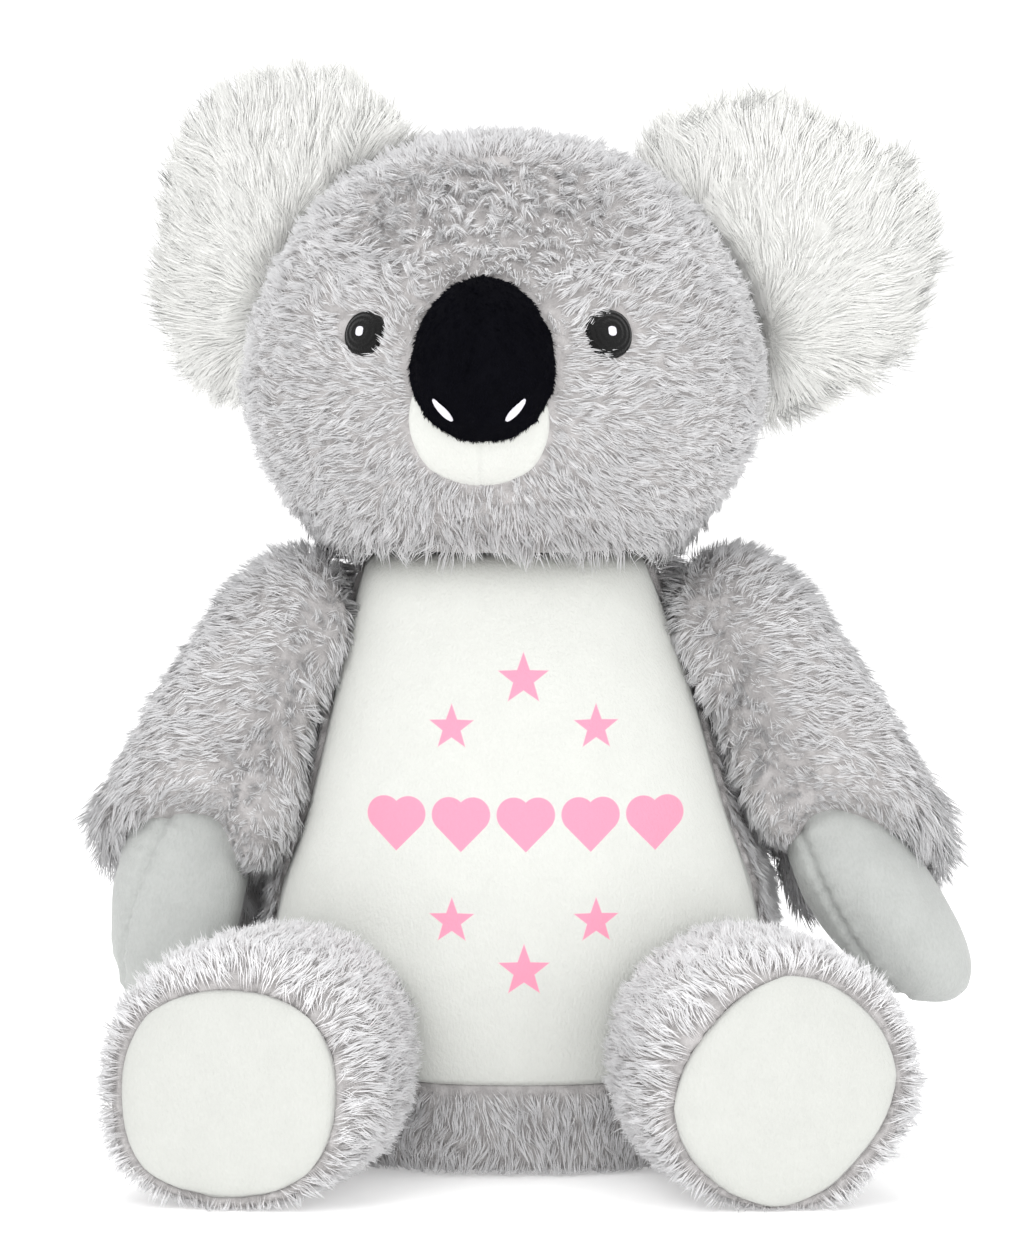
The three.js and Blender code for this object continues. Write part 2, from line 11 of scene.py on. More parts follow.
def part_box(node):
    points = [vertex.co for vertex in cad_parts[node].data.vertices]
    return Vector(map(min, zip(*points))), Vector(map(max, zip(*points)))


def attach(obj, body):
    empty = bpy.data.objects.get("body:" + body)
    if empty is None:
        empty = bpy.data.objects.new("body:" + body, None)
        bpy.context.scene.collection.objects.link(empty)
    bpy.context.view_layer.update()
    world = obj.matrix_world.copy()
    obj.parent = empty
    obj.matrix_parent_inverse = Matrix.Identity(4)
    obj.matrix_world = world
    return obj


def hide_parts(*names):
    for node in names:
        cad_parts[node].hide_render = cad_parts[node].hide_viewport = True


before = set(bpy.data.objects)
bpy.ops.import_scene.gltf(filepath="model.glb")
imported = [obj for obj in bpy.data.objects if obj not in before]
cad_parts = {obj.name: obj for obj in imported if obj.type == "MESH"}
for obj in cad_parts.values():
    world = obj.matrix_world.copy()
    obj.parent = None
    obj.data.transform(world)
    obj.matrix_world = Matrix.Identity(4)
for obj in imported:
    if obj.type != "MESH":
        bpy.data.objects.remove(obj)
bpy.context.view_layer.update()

bl_info = {
    "name": "Plush koala",
    "version": (1, 0, 0),
    "blender": (4, 5, 0),
    "location": "View3D > Sidebar > Koala",
    "description": "Dresses a sitting plush koala over its packed frame",
    "category": "Object",
}

MM = 0.001
SIDES = {"right": -1, "left": 1}

# Frames of the pieces, as the solids have them: places in metres, turns in degrees
HEAD_PLACE = (-0.0045, 0, 0.166)
HEAD_TURN = -4.5
TORSO_ASIDE = -0.001
# Place of each ear on the head: across, height, turn
EAR_PLACE = {"right": (0.0615, 0.086, 30), "left": (0.076, 0.0805, 8)}
EAR_BACK = 0.022
EAR_LEAN = 20
SHOULDER = (0.058, -0.008, 0.150)
ARM_OUT = 25
ARM_FORWARD = 6
CUFF_DISTANCE = 0.071
CUFF_TILT = 28
HIP = (0.048, -0.018, 0)
LEG_SPLAY = {"right": 13.5, "left": 10.5}
# Levels between which the pile begins to stand up towards the neck
NECK_RISE = (0.142, 0.155)
# Soft forms stay this far above the floor
FLOOR_GAP = 0.6 * MM

# Sleeves: how far they sag on the inner side near the cuff, how far their inner side reaches the neck,
# and how far their hem hangs below its seam on its inner and its outer side, in millimetres
SAG = {"right": 11.5 * MM, "left": 4 * MM}
NECK_REACH = 3 * MM
HEM_DROP = {"right": (9, 7), "left": (5, 11)}
# Where the sleeves' crease runs beside their middle, and how wide it is, in millimetres
CREASE_ASIDE = 6
CREASE_HALF = 5.5
# Turn of each paw's seam about the paw, in degrees
SEAM_TURN = {"right": -45, "left": 62}
# Power of the ears' squarish outline, and how their corners stand out: upper inner, lower outer, upper outer
EAR_SQUARE = 2.5
EAR_CORNERS = {"right": (0.05, 0.06, 0.0), "left": (0.08, -0.12, -0.05)}
# How far the top of each ear is pressed down
EAR_TOP = {"right": 0, "left": 3 * MM}
# Half of an ear's width and height, in millimetres
EAR_HALF = (40, 43)
# How far the lower outer corner of each leg reaches out
LEG_SAG = {"right": 4 * MM, "left": -3.5 * MM}

# Belly panel at some levels, from its widest up: half of its width, and its middle across
PANEL_HEIGHTS = np.array([59.8, 76.4, 96.3, 116.2, 136.0, 154.0, 168.0]) * MM
PANEL_WIDTHS = np.array([68.4, 64.8, 57.6, 52.6, 48.4, 42.6, 37.6]) * MM
PANEL_MIDDLES = np.array([-1.4, -1.4, -1.6, -1.9, -2.6, -4.1, -5.0]) * MM
# Its lower edge: level of its middle, how far its sides stand above that, and the power of its curve
PANEL_BOTTOM = 24.9 * MM
PANEL_CORNER = 34.9 * MM
PANEL_CURVE = 3.2
PANEL_TOP = 167.2 * MM
# Printed stars on the belly, in millimetres: place across, height, reach of a point
STARS = [(0.3, 132.4, 7.2), (-19.1, 119.6, 6.3), (19.9, 119.6, 6.3),
         (-18.9, 68.9, 6.3), (19.7, 68.9, 6.3), (0.4, 55.8, 7.2)]
STAR_POINTS = 5
# How deep a star's inner corners lie, as a share of its reach
STAR_DEPTH = 0.41
# Printed row of hearts, in millimetres
HEARTS = {"middle": (0.9, 94.7), "count": 5, "spacing": 17.4, "side": 9.2}
PRINT_EDGE = 0.15 * MM
# Outline of each sole in its leg's frame, in millimetres: middle across and up, half sizes and lean
SOLES = {"right": (-0.7, 30.3, 29.6, 27.2, 0), "left": (0, 31, 26.4, 30.6, -42)}
# Power of the soles' rounded outlines, 2 for an ellipse
SQUARE = 2.3
# The soles lie in front of this, in their leg's frame
SOLE_FRONT = -90
# How deep the skins lie behind a panel, and how deep under the pile elsewhere
PANEL_DEPTH = 3.4 * MM
SKIN_DEPTH = 0.4 * MM
# How far the pile stays clear of the belly panel's edge
PANEL_MARGIN = 0.5 * MM

# Face, in the head's frame: nose and eyes in millimetres
NOSE_MIDDLE = (0, 53)
NOSE_HALF = (20.5, 23)
NOSE_REACH = 21
EYE_MIDDLE = (33, 60)
EYE_CLEARING = 6
EYE_RADIUS = {"right": 6.4 * MM, "left": 6.9 * MM}
EYE_DOME = 2.6 * MM
GLINT_RADIUS = 1.45 * MM
THREAD_WIDTH = 1.1 * MM
CHIN_PLACE = (-1.4 * MM, 36.5 * MM)
CHIN_HALF = (19.7 * MM, 18.4 * MM)
# Middle height and half sizes of the forehead's rough pile
BROW_HEIGHT = 89
BROW_HALF = (38, 17)

# Cloth: pressure of the stuffing, and how many steps it settles in
CLOTH_PRESSURE = 4
CLOTH_STEPS = 20
VELOUR_THICKNESS = 2 * MM
# No piece of pile has more strands than this
MOST_STRANDS = 32000

# Stage, in metres: half of the floor, the radius of its curve and the steps of that curve
FLOOR_HALF = 3
CURVE_RADIUS = 1.2
CURVE_STEPS = 9
# The photo's width and the camera's focal length, both in the photo's pixels
PHOTO_WIDTH = 1024
FOCAL_LENGTH = 6120
SENSOR_WIDTH = 36
CAMERA_PLACE = (-0.0028, -1.69767, 0.23394)
CAMERA_TILT = 87
# Lamps: name, size, power, place, aim
LAMPS = (
    ("key", 1.2, 13, (-0.9, -1.5, 1.3), (0, 0, 0.15)),
    ("fill", 1.4, 10, (1.2, -1.5, 0.5), (0, 0, 0.1)),
    ("low", 1.4, 5.2, (0, -1.7, 0.15), (0, 0, 0.05)),
    ("top", 1.2, 9, (0, 0.2, 1.8), (0, 0, 0.15)),
)
WORLD_LIGHT = 0.8
PAPER_LIGHT = 0.3


# Frames

def turned(degrees, axis):
    """Turn about one axis, as a 4 by 4 matrix."""
    return Matrix.Rotation(math.radians(degrees), 4, axis)


def on_torso(place, sign):
    """Shift to a place beside the torso's middle, on the side that sign gives."""
    return Matrix.Translation((TORSO_ASIDE + sign * place[0], *place[1:]))


def head_frame():
    return Matrix.Translation(HEAD_PLACE) @ turned(HEAD_TURN, "Z")


def ear_frame(side):
    spread, height, turn = EAR_PLACE[side]
    sign = SIDES[side]
    place = Matrix.Translation((sign * spread, EAR_BACK, height))
    return head_frame() @ place @ turned(sign * turn, "Z") @ turned(-sign * EAR_LEAN, "Y")


def arm_frame(side):
    sign = SIDES[side]
    return on_torso(SHOULDER, sign) @ turned(-sign * ARM_OUT, "Y") @ turned(-ARM_FORWARD, "X")


def cuff_frame(side):
    """Plane of the cuff's seam: high in front, low at the back."""
    return arm_frame(side) @ Matrix.Translation((0, 0, -CUFF_DISTANCE)) @ turned(-CUFF_TILT, "X")


def leg_frame(side):
    sign = SIDES[side]
    return on_torso(HIP, sign) @ turned(sign * LEG_SPLAY[side], "Z")


# Shader maths

class Value:
    """A socket of a material; sums on it add their nodes."""

    def __init__(self, paint, socket):
        self.paint = paint
        self.socket = socket

    def math(self, operation, *others):
        inputs = dict(enumerate([self, *others]))
        node = self.paint.node("ShaderNodeMath", {"operation": operation}, inputs)
        return Value(self.paint, node.outputs[0])

    def __add__(self, other):
        return self.math("ADD", other)

    __radd__ = __add__

    def __sub__(self, other):
        return self.math("SUBTRACT", other)

    def __rsub__(self, other):
        return (self * -1).math("ADD", other)

    def __mul__(self, other):
        return self.math("MULTIPLY", other)

    __rmul__ = __mul__

    def __truediv__(self, other):
        return self.math("DIVIDE", other)

    def __abs__(self):
        return self.math("ABSOLUTE")

    def larger(self, other):
        return self.math("MAXIMUM", other)

    def smaller(self, other):
        return self.math("MINIMUM", other)

    def step(self, low, high):
        """0 below low, 1 above high and smooth between them."""
        settings = {"interpolation_type": "SMOOTHSTEP"}
        node = self.paint.node("ShaderNodeMapRange", settings, {0: self, 1: low, 2: high})
        return Value(self.paint, node.outputs[0])


class Paint:
    """A material and the nodes that it is built from."""

    def __init__(self, name, roughness, colour, sheen=0.0, specular=0.3):
        self.material = bpy.data.materials.new(name)
        self.material.use_nodes = True
        self.material.diffuse_color = (*colour, 1)
        self.tree = self.material.node_tree
        self.shader = self.tree.nodes["Principled BSDF"]
        self.shader.inputs["Roughness"].default_value = roughness
        self.shader.inputs["Specular IOR Level"].default_value = specular
        self.shader.inputs["Sheen Weight"].default_value = sheen
        self.shader.inputs["Sheen Roughness"].default_value = 0.5
        self.shader.inputs["Base Color"].default_value = (*colour, 1)

    def node(self, kind, settings=None, inputs=None):
        node = self.tree.nodes.new(kind)
        for name, value in (settings or {}).items():
            setattr(node, name, value)
        for name, value in (inputs or {}).items():
            if isinstance(value, Value):
                value = value.socket
            if isinstance(value, bpy.types.NodeSocket):
                self.tree.links.new(value, node.inputs[name])
            else:
                node.inputs[name].default_value = value
        return node

    def place(self):
        """The object's own coordinates, in metres, as a vector."""
        return self.node("ShaderNodeTexCoord").outputs["Object"]

    def parts(self, vector):
        node = self.node("ShaderNodeSeparateXYZ", None, {0: vector})
        return [Value(self, out) for out in node.outputs]

    def noise(self, vector, size, detail, stretch=None):
        """Noise from 0 to 1 whose swells are about size metres across."""
        if stretch:
            vector = self.node("ShaderNodeMapping", None, {"Vector": vector, "Scale": stretch}).outputs[0]
        inputs = {"Vector": vector, "Scale": 1 / size, "Detail": detail, "Roughness": 0.55}
        return Value(self, self.node("ShaderNodeTexNoise", None, inputs).outputs[0])

    def mix(self, share, first, second, blend="MIX"):
        node = self.node("ShaderNodeMix", {"data_type": "RGBA", "blend_type": blend})
        sockets = {"Factor": share, "A": first, "B": second}
        for socket in node.inputs:
            if socket.name not in sockets or not socket.enabled:
                continue
            value = sockets[socket.name]
            value = value.socket if isinstance(value, Value) else value
            if isinstance(value, bpy.types.NodeSocket):
                self.tree.links.new(value, socket)
            else:
                socket.default_value = (*value, 1) if isinstance(value, tuple) else value
        return [out for out in node.outputs if out.enabled][0]

    def colour(self, socket):
        self.tree.links.new(socket, self.shader.inputs["Base Color"])

    def roughness(self, value):
        self.tree.links.new(value.socket, self.shader.inputs["Roughness"])

    def glow(self, colour, strength):
        self.shader.inputs["Emission Color"].default_value = (*colour, 1)
        self.shader.inputs["Emission Strength"].default_value = strength

    def bump(self, height, depth, strength=1.0):
        node = self.node("ShaderNodeBump", None, {"Strength": strength, "Distance": depth, "Height": height})
        self.tree.links.new(node.outputs[0], self.shader.inputs["Normal"])


def pile_paint(name, root, tip, spread=0.7, sheen=0.25, specular=0.1, glow=0.0):
    """Pile whose colour runs from root to tip, darker at the root as painted shade deep in the pile,
    and from strand to strand. glow is a painted glow, an even light of the strands' own that stands
    in for light that passes through them."""
    paint = Paint(name, roughness=0.85, sheen=sheen, colour=tuple(tip), specular=specular)
    paint.glow((1, 1, 0.98), glow)
    along, tone, _ = paint.parts(paint.node("ShaderNodeUVMap", {"uv_map": "OFBake"}).outputs[0])
    # Painted shade: each strand is darker towards its root, where shade falls deep in the pile.
    base = paint.mix(along.step(0.0, 0.85), tuple(root), tuple(tip))
    level = tone * (2 * spread) + (1 - spread)
    grey = paint.node("ShaderNodeCombineColor", None, {0: level, 1: level, 2: level}).outputs[0]
    paint.colour(paint.mix(1.0, base, grey, "MULTIPLY"))
    return paint.material


def backing_paint(name, dark, light):
    """Knitted backing that carries the pile, mostly hidden by it."""
    paint = Paint(name, roughness=0.95, colour=tuple(dark), specular=0.1)
    place = paint.place()
    mottle = paint.noise(place, 4 * MM, 3)
    paint.colour(paint.mix(mottle.step(0.35, 0.65), tuple(dark), tuple(light)))
    paint.bump(paint.noise(place, 0.9 * MM, 2), 0.6 * MM, 0.8)
    return paint.material


def velour_paint(name, colour, dark_share, sheen=0.3, specular=0.15):
    """Short velour: a fine nap, brushed darker in soft patches, down to a share of its colour."""
    paint = Paint(name, roughness=0.9, sheen=sheen, colour=tuple(colour), specular=specular)
    place = paint.place()
    brushed = paint.noise(place, 9 * MM, 3)
    fine = paint.noise(place, 0.7 * MM, 3, (1, 1, 0.55))
    share = (brushed - 0.5) * 0.5 + fine * 0.6 + 0.2
    base = paint.mix(share.step(0.2, 0.8), scaled(colour, dark_share), tuple(colour))
    paint.roughness(fine * 0.15 + 0.8)
    paint.bump(fine + brushed * 0.6, 0.35 * MM, 0.7)
    return paint, base, place


def plain_velour(name, colour, dark_share, sheen=0.3, specular=0.15):
    paint, base, _ = velour_paint(name, colour, dark_share, sheen, specular)
    paint.colour(base)
    return paint.material


def scaled(colour, share):
    return tuple(share * channel for channel in colour)


def printed_star(x, z, star):
    """1 on a star that stands upright, 0 around it."""
    across, height, reach = (v * MM for v in star)
    dx = x - across
    dz = z - height
    sector = 2 * math.pi / STAR_POINTS
    angle = (dx.math("ARCTAN2", dz) + sector / 2).math("FLOORED_MODULO", sector) - sector / 2
    far = (dx * dx + dz * dz).math("SQRT")
    folded = abs(angle)
    inner = STAR_DEPTH * reach
    corner_x = inner * math.cos(sector / 2)
    corner_y = inner * math.sin(sector / 2)
    length = math.hypot(corner_y, reach - corner_x)
    edge = far * folded.math("COSINE") * (corner_y / length)
    edge = edge + far * folded.math("SINE") * ((reach - corner_x) / length)
    outside = edge - reach * corner_y / length
    return (outside * -1).step(-PRINT_EDGE, PRINT_EDGE)


def printed_hearts(x, z):
    """1 on a row of small plain hearts, 0 around them."""
    middle_x, middle_z = (v * MM for v in HEARTS["middle"])
    spacing = HEARTS["spacing"] * MM
    side = HEARTS["side"] * MM
    offset = x - middle_x
    half_row = HEARTS["count"] / 2
    in_row = (abs(offset) * -1).step(-half_row * spacing, (0.02 - half_row) * spacing)
    dx = abs((offset + spacing / 2).math("FLOORED_MODULO", spacing) - spacing / 2)
    dz = z - middle_z + side / 8
    lozenge = dx + abs(dz) - side / math.sqrt(2)
    lobe_at = side / (2 * math.sqrt(2))
    lobe_x = dx - lobe_at
    lobe_z = dz - lobe_at
    lobe = (lobe_x * lobe_x + lobe_z * lobe_z).math("SQRT") - side / 2
    return (lozenge.smaller(lobe) * -1).step(-PRINT_EDGE, PRINT_EDGE) * in_row


# Forms

def in_scene(name, data):
    """A new object in the scene."""
    obj = bpy.data.objects.new(name, data)
    bpy.context.scene.collection.objects.link(obj)
    return obj


def named(work, name):
    """A new object in the scene from a bmesh, which is freed."""
    mesh = bpy.data.meshes.new(name)
    work.to_mesh(mesh)
    work.free()
    return in_scene(name, mesh)


def opened(mesh):
    """A bmesh with the form of a mesh."""
    work = bmesh.new()
    work.from_mesh(mesh)
    return work


def gathered(name, nodes):
    """One object from merged copies of solids of the frame."""
    work = bmesh.new()
    for node in nodes:
        work.from_mesh(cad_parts[node].data)
    bmesh.ops.remove_doubles(work, verts=work.verts, dist=1e-6)
    return named(work, name)


def settled(obj):
    """The object with what its modifiers make as its own mesh."""
    bpy.context.view_layer.update()
    graph = bpy.context.evaluated_depsgraph_get()
    mesh = bpy.data.meshes.new_from_object(obj.evaluated_get(graph))
    obj.modifiers.clear()
    old = obj.data
    obj.data = mesh
    bpy.data.meshes.remove(old)
    return obj


def remeshed(obj, voxel, smooth):
    """The form with an even mesh of the voxel's size, smoothed a number of times."""
    modifier = obj.modifiers.new("Remesh", "REMESH")
    modifier.mode = "VOXEL"
    modifier.voxel_size = voxel
    modifier = obj.modifiers.new("Smooth", "SMOOTH")
    modifier.iterations = smooth
    modifier.factor = 0.5
    return outermost(settled(obj))


def outermost(obj):
    """The largest island of a mesh, without what the remesh leaves in narrow gaps inside."""
    work = opened(obj.data)
    waiting = set(work.verts)
    islands = []
    while waiting:
        edge = [waiting.pop()]
        island = list(edge)
        while edge:
            near = {e.other_vert(v) for v in edge for e in v.link_edges} & waiting
            waiting -= near
            edge = list(near)
            island += edge
        islands.append(island)
    largest = max(islands, key=len)
    rest = [v for island in islands if island is not largest for v in island]
    bmesh.ops.delete(work, geom=rest, context="VERTS")
    work.to_mesh(obj.data)
    work.free()
    return obj


def vectors_of(mesh, kind):
    vectors = np.empty(len(mesh.vertices) * 3, np.float32)
    mesh.vertices.foreach_get(kind, vectors)
    return vectors.reshape(-1, 3).astype(float)


def places_of(mesh):
    return vectors_of(mesh, "co")


def normals_of(mesh):
    return vectors_of(mesh, "normal")


def shaped(obj, places):
    obj.data.vertices.foreach_set("co", np.asarray(places, np.float32).ravel())
    obj.data.update()
    return obj


def swollen(obj, outward):
    """Moves each point along its normal by a distance, or by one that is worked out from its place."""
    places = places_of(obj.data)
    reach = outward(places) if callable(outward) else outward
    return shaped(obj, places + normals_of(obj.data) * np.reshape(reach, (-1, 1)))


def filled(obj, cap):
    """The form as cloth that its stuffing presses out, no point of it further than cap."""
    scene = bpy.context.scene
    before = places_of(obj.data)
    modifier = obj.modifiers.new("Cloth", "CLOTH")
    cloth = modifier.settings
    cloth.quality = 5
    cloth.mass = 0.2
    cloth.use_pressure = True
    cloth.uniform_pressure_force = CLOTH_PRESSURE
    cloth.tension_stiffness = 20
    cloth.compression_stiffness = 20
    cloth.bending_stiffness = 0.6
    cloth.effector_weights.gravity = 0
    modifier.point_cache.frame_start = 1
    modifier.point_cache.frame_end = CLOTH_STEPS
    for step in range(1, CLOTH_STEPS + 1):
        scene.frame_set(step)
    graph = bpy.context.evaluated_depsgraph_get()
    after = places_of(obj.evaluated_get(graph).data)
    obj.modifiers.clear()
    scene.frame_set(1)
    way = after - before
    far = np.linalg.norm(way, axis=1, keepdims=True)
    way *= np.minimum(1, cap / np.maximum(far, 1e-9))
    lowest = np.minimum(before[:, 2], FLOOR_GAP)
    way[:, 2] = np.maximum(way[:, 2], lowest - before[:, 2])
    return shaped(obj, before + way)


def subdivided(obj):
    modifier = obj.modifiers.new("Subdivision", "SUBSURF")
    modifier.levels = modifier.render_levels = 1
    return settled(obj)


def smooth_shaded(obj):
    obj.data.shade_smooth()
    return obj


def tree_of(obj):
    bpy.context.view_layer.update()
    work = opened(obj.data)
    tree = BVHTree.FromBMesh(work)
    work.free()
    return tree


def nearest(points, tree):
    """How far each point stands outside of a closed form, negative inside it, and the way it faces there."""
    found = np.empty(len(points))
    facing = np.empty((len(points), 3))
    for i, point in enumerate(points.tolist()):
        place, normal, _, far = tree.find_nearest(point)
        found[i] = far if (Vector(point) - place).dot(normal) >= 0 else -far
        facing[i] = normal
    return found, facing


def open_to_air(points, normals, trees, room=5 * MM):
    """0 where a form lies flat against another, 1 where it has room for pile."""
    share = np.ones(len(points))
    for tree in trees:
        far, facing = nearest(points, tree)
        facing_it = eased(-(normals * facing).sum(axis=1), 0.2, 0.75)
        share *= 1 - facing_it * (1 - eased(far, 0.2 * room, room))
        share *= eased(far, -2 * MM, -0.5 * MM)
    return share


def globally(points, matrix):
    """Points of the frame that the matrix gives, as world points."""
    grid = np.array(matrix, float)
    return points @ grid[:3, :3].T + grid[:3, 3]


def locally(points, matrix):
    """World points in the frame that the matrix gives."""
    return globally(points, matrix.inverted())


def local_mm(points, matrix):
    """World points in a frame, in millimetres, as an array for each coordinate."""
    return (locally(points, matrix) / MM).T


def outward_of(vectors, matrix):
    return vectors @ np.array(matrix, float)[:3, :3].T


def unit(vectors):
    return vectors / np.maximum(np.linalg.norm(vectors, axis=1, keepdims=True), 1e-9)


def eased(values, low, high):
    """0 below low, 1 above high and smooth between them."""
    share = np.clip((values - low) / (high - low), 0, 1)
    return share * share * (3 - 2 * share)


def ripples(points, size, seed):
    """Smooth noise from about -1 to 1, with swells about size metres across."""
    dice = np.random.default_rng(seed)
    waves = unit(dice.normal(size=(10, 3))) * (2 * math.pi / size) * dice.uniform(0.6, 1.5, (10, 1))
    return np.sin(points @ waves.T + dice.uniform(0, 2 * math.pi, 10)).mean(axis=1) * 2.2


def patch(name, corners_to_place, rows, columns, thickness, tuck):
    """A closed cloth panel: a grid is set on a surface, its edge tucked in and its back laid behind it.
    corners_to_place takes points of a square from -1 to 1 and returns places and the ways they face."""
    work = bmesh.new()
    bmesh.ops.create_grid(work, x_segments=columns, y_segments=rows, size=1)
    square = np.array([v.co[:] for v in work.verts])
    places, facing = corners_to_place(square[:, 0], square[:, 1])
    rim = 1 - np.abs(square[:, :2]).max(axis=1)
    edge_in = np.exp(-rim / 0.035) * tuck
    places = places - facing * edge_in[:, None]
    for vertex, place in zip(work.verts, places):
        vertex.co = place
    bmesh.ops.recalc_face_normals(work, faces=work.faces)
    facing_out = sum(f.normal.dot(Vector(facing[f.verts[0].index])) for f in work.faces)
    if facing_out < 0:
        bmesh.ops.reverse_faces(work, faces=work.faces)
    work.normal_update()
    inward = {vertex.co[:]: -vertex.normal for vertex in work.verts}
    made = bmesh.ops.extrude_face_region(work, geom=work.faces[:])["geom"]
    for vertex in (part for part in made if isinstance(part, bmesh.types.BMVert)):
        vertex.co += inward[vertex.co[:]] * thickness
    bmesh.ops.recalc_face_normals(work, faces=work.faces)
    return smooth_shaded(named(work, name))


def disc(s, t):
    """Square to round disc."""
    return s * np.sqrt(1 - t * t / 2), t * np.sqrt(1 - s * s / 2)


def rounded(name, frame_there, radius, dome, outline):
    """A small domed pad of thread, on a plane that faces its frame's Z."""
    def on_dome(s, t):
        x, y = outline(s, t)
        height = dome * (1 - np.clip(x * x + y * y, 0, 1)) ** 0.6
        near = np.stack([x * radius, y * radius, height], axis=1)
        facing = np.tile(np.array(frame_there, float)[:3, 2], (len(x), 1))
        return globally(near, frame_there), facing
    return patch(name, on_dome, 24, 24, 1 * MM, 0.5 * MM)


def rings(paint, middle):
    """Rings of thread around a middle, as a relief."""
    x, y, z = paint.parts(paint.place())
    dx, dy, dz = x - middle[0], y - middle[1], z - middle[2]
    far = (dx * dx + dy * dy + dz * dz).math("SQRT")
    turns = (far * (2 * math.pi / THREAD_WIDTH)).math("SINE")
    twist = paint.noise(paint.place(), 0.6 * MM, 2)
    paint.bump(turns * 0.5 + twist, 0.35 * MM)


def cast(tree, starts, way):
    """Places and normals where rays along one way meet a form."""
    places = np.array(starts, float)
    facing = np.tile(-np.array(way, float), (len(starts), 1))
    last_reach = 0.0
    for i, start in enumerate(starts):
        for shift in (0, 0.02 * MM, 0.05 * MM, -0.03 * MM):
            place, normal, _, reach = tree.ray_cast((start + shift).tolist(), way)
            if place is not None and normal.dot(way) < 0:
                last_reach = reach
                break
        else:
            beside = start + last_reach * np.array(way, float)
            place, normal, _, _ = tree.find_nearest(beside.tolist())
        places[i] = place
        facing[i] = normal
    return places, facing


# Pile

def strand_template():
    """A slim closed spindle, from its root at height 0 to its tip at 1: its points and its faces."""
    work = bmesh.new()
    for turn, low in ((math.pi, 0.0), (0.0, 0.5)):
        place = Matrix.Translation((0, 0, low + 0.25)) @ Matrix.Rotation(turn, 4, "X")
        bmesh.ops.create_cone(
            work, cap_ends=False, segments=3, radius1=1, radius2=0, depth=0.5, matrix=place)
    bmesh.ops.remove_doubles(work, verts=work.verts, dist=0.01)
    bmesh.ops.triangulate(work, faces=work.faces)
    bmesh.ops.recalc_face_normals(work, faces=work.faces)
    points = np.array([v.co[:] for v in work.verts])
    faces = np.array([[v.index for v in f.verts] for f in work.faces])
    work.free()
    return points, faces


STRAND_POINTS, STRAND_FACES = strand_template()


def scattered(form, density, dice):
    """Points spread evenly over a form, and the ways they face. density counts them on a square
    millimetre."""
    mesh = form.data
    mesh.calc_loop_triangles()
    corners = np.empty(len(mesh.loop_triangles) * 3, np.int32)
    mesh.loop_triangles.foreach_get("vertices", corners)
    corners = corners.reshape(-1, 3)
    places = places_of(mesh)
    normals = normals_of(mesh)
    a, b, c = (places[corners[:, k]] for k in range(3))
    areas = np.linalg.norm(np.cross(b - a, c - a), axis=1) / 2
    count = int(areas.sum() * density * 1e6)
    chosen = dice.choice(len(corners), count, p=areas / areas.sum())
    u = np.sqrt(dice.random(count))
    v = dice.random(count)
    shares = np.stack([1 - u, u * (1 - v), u * v], axis=1)[:, :, None]
    points = (places[corners[chosen]] * shares).sum(axis=1)
    return points, unit((normals[corners[chosen]] * shares).sum(axis=1))


def tufted(points, size):
    """Number of the tuft that each point belongs to."""
    warp = np.stack([ripples(points, 4 * size, seed) for seed in (11, 12, 13)], axis=1)
    warped = points + 0.35 * size * warp
    cells = np.floor(warped / size).astype(np.int64)
    cells -= cells.min(axis=0)
    keys = (cells[:, 0] * 10000 + cells[:, 1]) * 10000 + cells[:, 2]
    _, tufts = np.unique(keys, return_inverse=True)
    return tufts.ravel()


def mean_by(tufts, values):
    count = np.bincount(tufts)
    return np.stack([np.bincount(tufts, values[:, k]) / count for k in range(3)], axis=1)[tufts]


